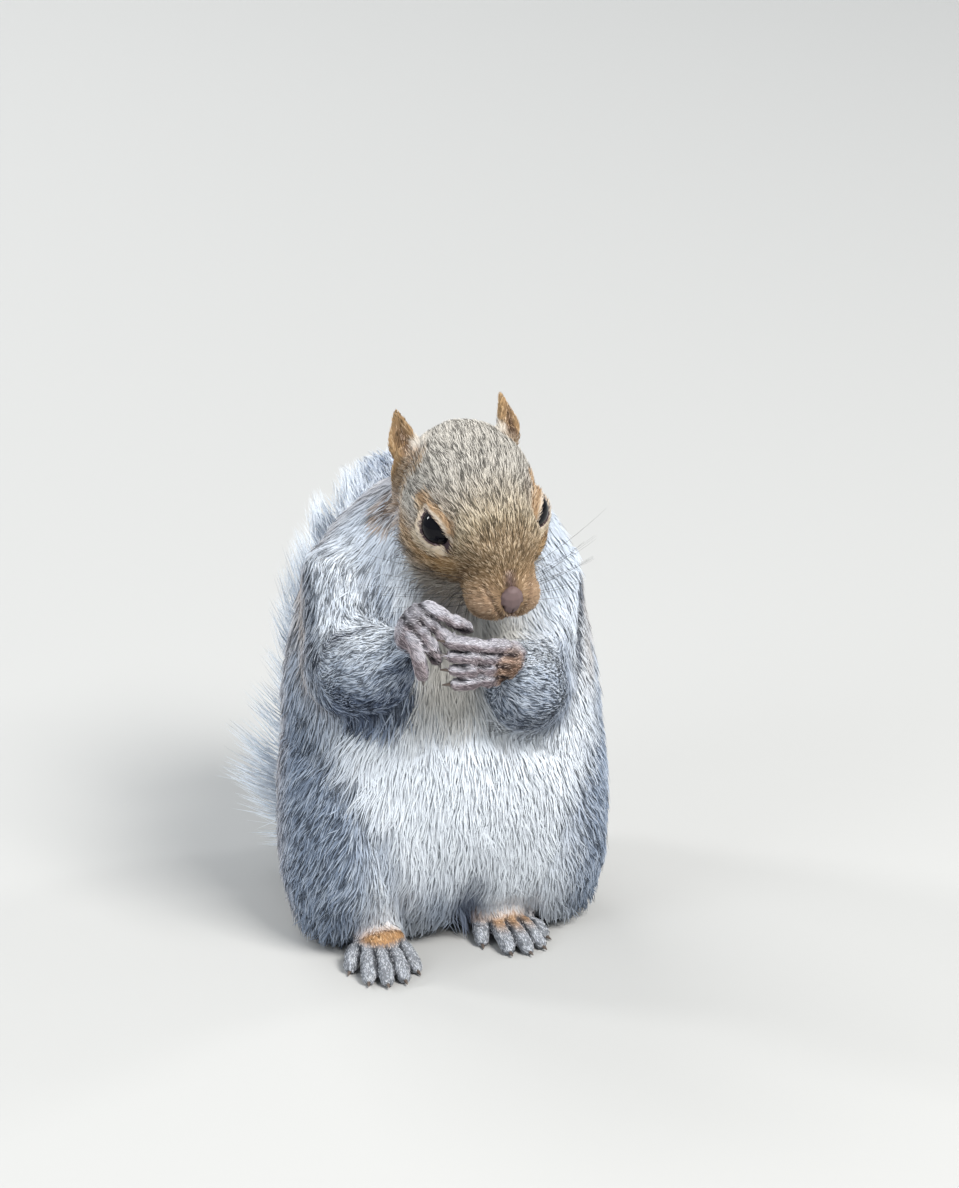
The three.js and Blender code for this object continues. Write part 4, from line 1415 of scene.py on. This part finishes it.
def coat(name, weight, to_a_lock, covers):
    """One part's fur: weight tufts to a square mm of skin, and to_a_lock tufts in a lock."""
    spots = scatter(weight)
    count = len(spots["root"])
    wander = ripple(spots["root"], 11)
    length = spots["table"][:, LENGTH] * (0.75 + 0.5 * chance.random(count)) * (1 + 0.12 * wander)
    width = spots["table"][:, WIDTH] * (0.7 + 0.6 * chance.random(count))
    lift = np.radians(spots["table"][:, LIFT] * (0.35 + 1.3 * chance.random(count)))
    sway = np.radians(chance.normal(0, 11, count) + 10 * ripple(spots["root"], 12, 1.0))
    up, ahead_here = spots["up"], spots["ahead"]
    side = unit(np.cross(ahead_here, up))
    way = ahead_here * np.cos(sway)[:, None] + side * np.sin(sway)[:, None]
    side = unit(np.cross(way, up))
    leader = in_locks(spots["root"], count / to_a_lock)
    lines = np.empty((count, RINGS + 1, 3))
    for ring, t in enumerate(np.linspace(0, 1, RINGS + 1)):
        height = length * np.sin(lift) * t * (1.25 - 0.45 * t)
        lines[:, ring] = spots["root"] + way * (length * t)[:, None] + up * height[:, None]
        lines[:, ring] += DRAWN * t * t * (lines[leader, ring] - lines[:, ring])
        if ring:
            lines[:, ring] = combed(lines[:, ring], OVER_SKIN + height)
        else:
            lines[:, ring] -= up * np.minimum(ROOT_DEPTH, 0.08 * length)[:, None]
    lines[..., 2] = np.maximum(lines[..., 2], HEM + 0.8 * chance.random((count, 1)))
    widths = width[:, None] * np.array((1, 0.85))
    colour, ticking = markings(spots["root"], up, spots["shares"], spots["left"])
    shades = ticked(colour, ticking, leader)
    tuft_meshes(name, lines, side, up, widths, shades, spots["place"], covers)


def only(*names):
    """The coat's density on these parts, and nothing elsewhere."""
    return table[:, DENSITY] * np.isin(part, [PARTS.index(n) for n in names])


coat("coat_head", only("head"), 2.2, ["head"])
coat("coat_ears", only("ear"), 1.5, ["ear_left", "ear_right"])
coat("coat_neck", only("neck"), 3.5, ["neck"])
coat("coat_trunk", only("trunk"), 3.5, ["trunk"])
coat("coat_haunches", only("haunch"), 2.5, ["haunch_left", "haunch_right"])
coat("coat_arms", only("upper_arm", "forearm"), 2.2, [n for n in FLESH if "arm" in n])
coat("coat_hands", only("forepaw"), 2, ["forepaw_left", "forepaw_right"])
coat("coat_feet", only("hind_foot"), 2, ["hind_foot_left", "hind_foot_right"])

# %% [markdown]
# ## The plume
#
# The tail's hairs are the longest of all: most measure three to six centimetres. They leave the
# thin rod to both sides, bend over towards the tip, and end in a white fringe after a dark band. A
# few wisps stand out of the outline, as they do on any tail that has been through a hedge.

# %% The tail's hair
TAIL_HAIRS = int(12400 * FEWER)
FRINGE = 0.3  # share of the hairs that reach the plume's edge
TIP_SHARE = 0.26  # how far the last hairs run on past the rod
HAIRS_TO_A_LOCK = 22
DRAWN_TOGETHER = 0.42  # how far a hair's tip is drawn over to its leader's
WISP = 12  # mm that the loosest hairs stand further out on the animal's right
start = chance.random(TAIL_HAIRS) ** 0.85 * ROD_END
reach = 0.15 + 0.16 * chance.random(TAIL_HAIRS)
end = start + reach
beyond = np.clip(end - ROD_END, 0, None) * tail_length
end = np.minimum(end, ROD_END)
rooted = along(stations, start)
ended = along(stations, end)


def tail_frame(t):
    """The tail's own directions: along it, across it, and out of its back."""
    run = unit(along(stations, np.minimum(t + 0.01, 1))[:, :3] - along(stations, t - 0.01)[:, :3])
    across = unit(np.array((1.0, 0, 0)) - run * run[:, :1])
    return run, across, np.cross(run, across)


run, across_tail, out_tail = tail_frame(start)
run_end, across_end, out_end = tail_frame(end)
angle = chance.random(TAIL_HAIRS) * 2 * math.pi
fill = np.where(chance.random(TAIL_HAIRS) < FRINGE, 0.9 + 0.14 * chance.random(TAIL_HAIRS),
                chance.random(TAIL_HAIRS) ** 0.6)
closing = 1 - 0.5 * step(0, 30, beyond)
bushy = TAIL_HALF_WIDTH * (ended[:, 3] + 0.18 * step(0.45, 0.75, end))
half_width = bushy * fill * np.cos(angle) * closing
blown = hill(0.42, 0.2, end) * (np.cos(angle) < -0.3) * chance.random(TAIL_HAIRS)
half_width = half_width - WISP * blown
rod = np.interp(start, (0, 1), ROD_RADII)
deep = rod + (TAIL_HALF_DEPTH * ended[:, 3] ** 0.4 - rod) * fill
half_depth = deep * np.sin(angle) * closing
around = across_tail * np.cos(angle)[:, None] + out_tail * np.sin(angle)[:, None]
root = rooted[:, :3] + around * (0.8 * rod)[:, None]
tip = (ended[:, :3] + run_end * (beyond * TIP_SHARE)[:, None]
       + across_end * half_width[:, None] + out_end * half_depth[:, None])
alike = np.column_stack((end * 40, np.cos(angle) * fill * 9, np.sin(angle) * 3))
leader = in_locks(alike, TAIL_HAIRS / HAIRS_TO_A_LOCK)
stray = np.where(chance.random(TAIL_HAIRS) < 0.35, chance.random(TAIL_HAIRS) * 0.16, 0.0)[leader]
lock_tip = tip[leader] + (tip[leader] - root[leader]) * stray[:, None]
tip = tip + DRAWN_TOGETHER * (lock_tip - tip)
wave = chance.normal(0, 1.3, (TAIL_HAIRS, 3)) + chance.normal(0, 1.6, (TAIL_HAIRS, 3))[leader]
bow = 0.16 * (across_tail * half_width[:, None] + out_tail * half_depth[:, None])
knee = root + 0.5 * (tip - root) + bow
RING_PLACES = (0, 0.36, 0.72, 1)  # along a hair
lines = np.empty((TAIL_HAIRS, len(RING_PLACES), 3))
for ring, t in enumerate(RING_PLACES):
    curve = (1 - t) ** 2 * root + 2 * t * (1 - t) * knee + t * t * tip
    lines[:, ring] = curve + wave * t * (1 - t) * 4
lines[..., 2] = np.maximum(lines[..., 2], HEM + 1.5 * chance.random((TAIL_HAIRS, 1)))
way = unit(tip - root)
outward = unit(out_tail * np.sin(angle)[:, None] + across_tail * np.cos(angle)[:, None] * 0.2)
side = unit(np.cross(way, outward))
up = np.cross(side, way)
thickness = 0.34 + 0.3 * chance.random(TAIL_HAIRS)
widths = thickness[:, None] * np.array((1, 0.95, 0.7))
uneven = (1 + 0.15 * chance.standard_normal(TAIL_HAIRS))[:, None]
lot = chance.random(TAIL_HAIRS)[:, None]
edge_share = step(0.45, 0.95, np.abs(half_width) / bushy)[:, None]
band = np.where(lot < 0.55, SLATE, GREY) * uneven
late = np.where(lot < 0.22, STEEL, PALE_GREY) * uneven
shades = np.stack((
    mixed(TAN, GREY, chance.random(TAIL_HAIRS)) * 0.75,
    band,
    late + edge_share * 0.85 * (WHITE - late),
    np.where(lot < 0.88, WHITE * 0.95, STEEL) * np.ones((TAIL_HAIRS, 1)),
), axis=1)

# On the map, each hair takes the place of a root on the rod that is as far along the tail.
ROOTS_ON_ROD = 8  # to a square mm
tail_spots = scatter(table[:, DENSITY] * ROOTS_ON_ROD * (part == PARTS.index("tail")))
core_far = ((tail_spots["root"][:, None] - core[None, ::CORE_STEP]) ** 2).sum(-1)
order = np.argsort(core_far.argmin(1))
pick = order[np.minimum((start * len(order)).astype(int), len(order) - 1)]
tuft_meshes("coat_tail", lines, side, up, widths, np.clip(shades, 0, BRIGHTEST),
            tail_spots["place"][pick], TAIL, soft=False)
span = np.linalg.norm(tip - root, axis=1)
print(f"a hair of the tail is {np.median(span):.0f} mm long, and the longest {span.max():.0f} mm")

# %% [markdown]
# ## Whiskers
#
# Whiskers are single stiff hairs, thicker than any other and up to four centimetres long. They
# stand in rows on the pads beside the nose and sweep back and a little down.

# %% Whiskers
WHISKERS_A_SIDE = 13
WHISKER_ROWS = 4
WHISKER_LENGTH = 38
WHISKER_RADIUS = 0.075
WHISKER_RINGS = 9
all_points, all_faces = [], []
first = 0
for sign in (1, -1):
    for n in range(WHISKERS_A_SIDE):
        row, place = n % WHISKER_ROWS, n // WHISKER_ROWS
        foot = on_head(sign * (6.5 + 0.9 * place), -21.5 + 2.3 * place, -7.5 - 2.0 * row)
        length = WHISKER_LENGTH * (0.62 + 0.1 * place + 0.12 * chance.random())
        out = (across_head * sign * (0.9 + 0.06 * place) - head_front * (0.15 + 0.25 * place / 3)
               + head_up * (0.12 - 0.16 * row + 0.1 * chance.standard_normal()))
        out = unit(out)
        t = np.linspace(0, 1, WHISKER_RINGS)[:, None]
        bend = -head_front * 0.22 - np.array((0, 0, 0.10))
        line = foot + out * length * t + bend * length * t * t
        p, f = tube(line, WHISKER_RADIUS * np.linspace(1, 0.25, WHISKER_RINGS), 4)
        all_points.append(p)
        all_faces.append(np.array(f) + first)
        first += len(p)
whiskers = make_mesh("whiskers", np.concatenate(all_points), np.concatenate(all_faces))
whiskers.data.materials.append(material("whisker_hair", tuple(INK), 0.4))
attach(whiskers, "root")
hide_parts("head")
print(f"{2 * WHISKERS_A_SIDE} whiskers")

# %% [markdown]
# ## The skin's own colour
#
# Between two tufts the skin shows. It asks the same function for its colour and takes a darker
# shade of it where the hairs are banded, because little light gets down there.

# %% Paint the skin
colour, ticking = markings(points, normal, shares, left)
tint_points(mesh, colour * (0.9 - 0.5 * ticking)[:, None])
print(f"{len(points)} points of the skin have a colour")
mesh.materials.append(coat_material)
mesh.polygons.foreach_set("use_smooth", np.ones(len(mesh.polygons), bool))
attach(skin, "root")
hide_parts(*FLESH, *TAIL)
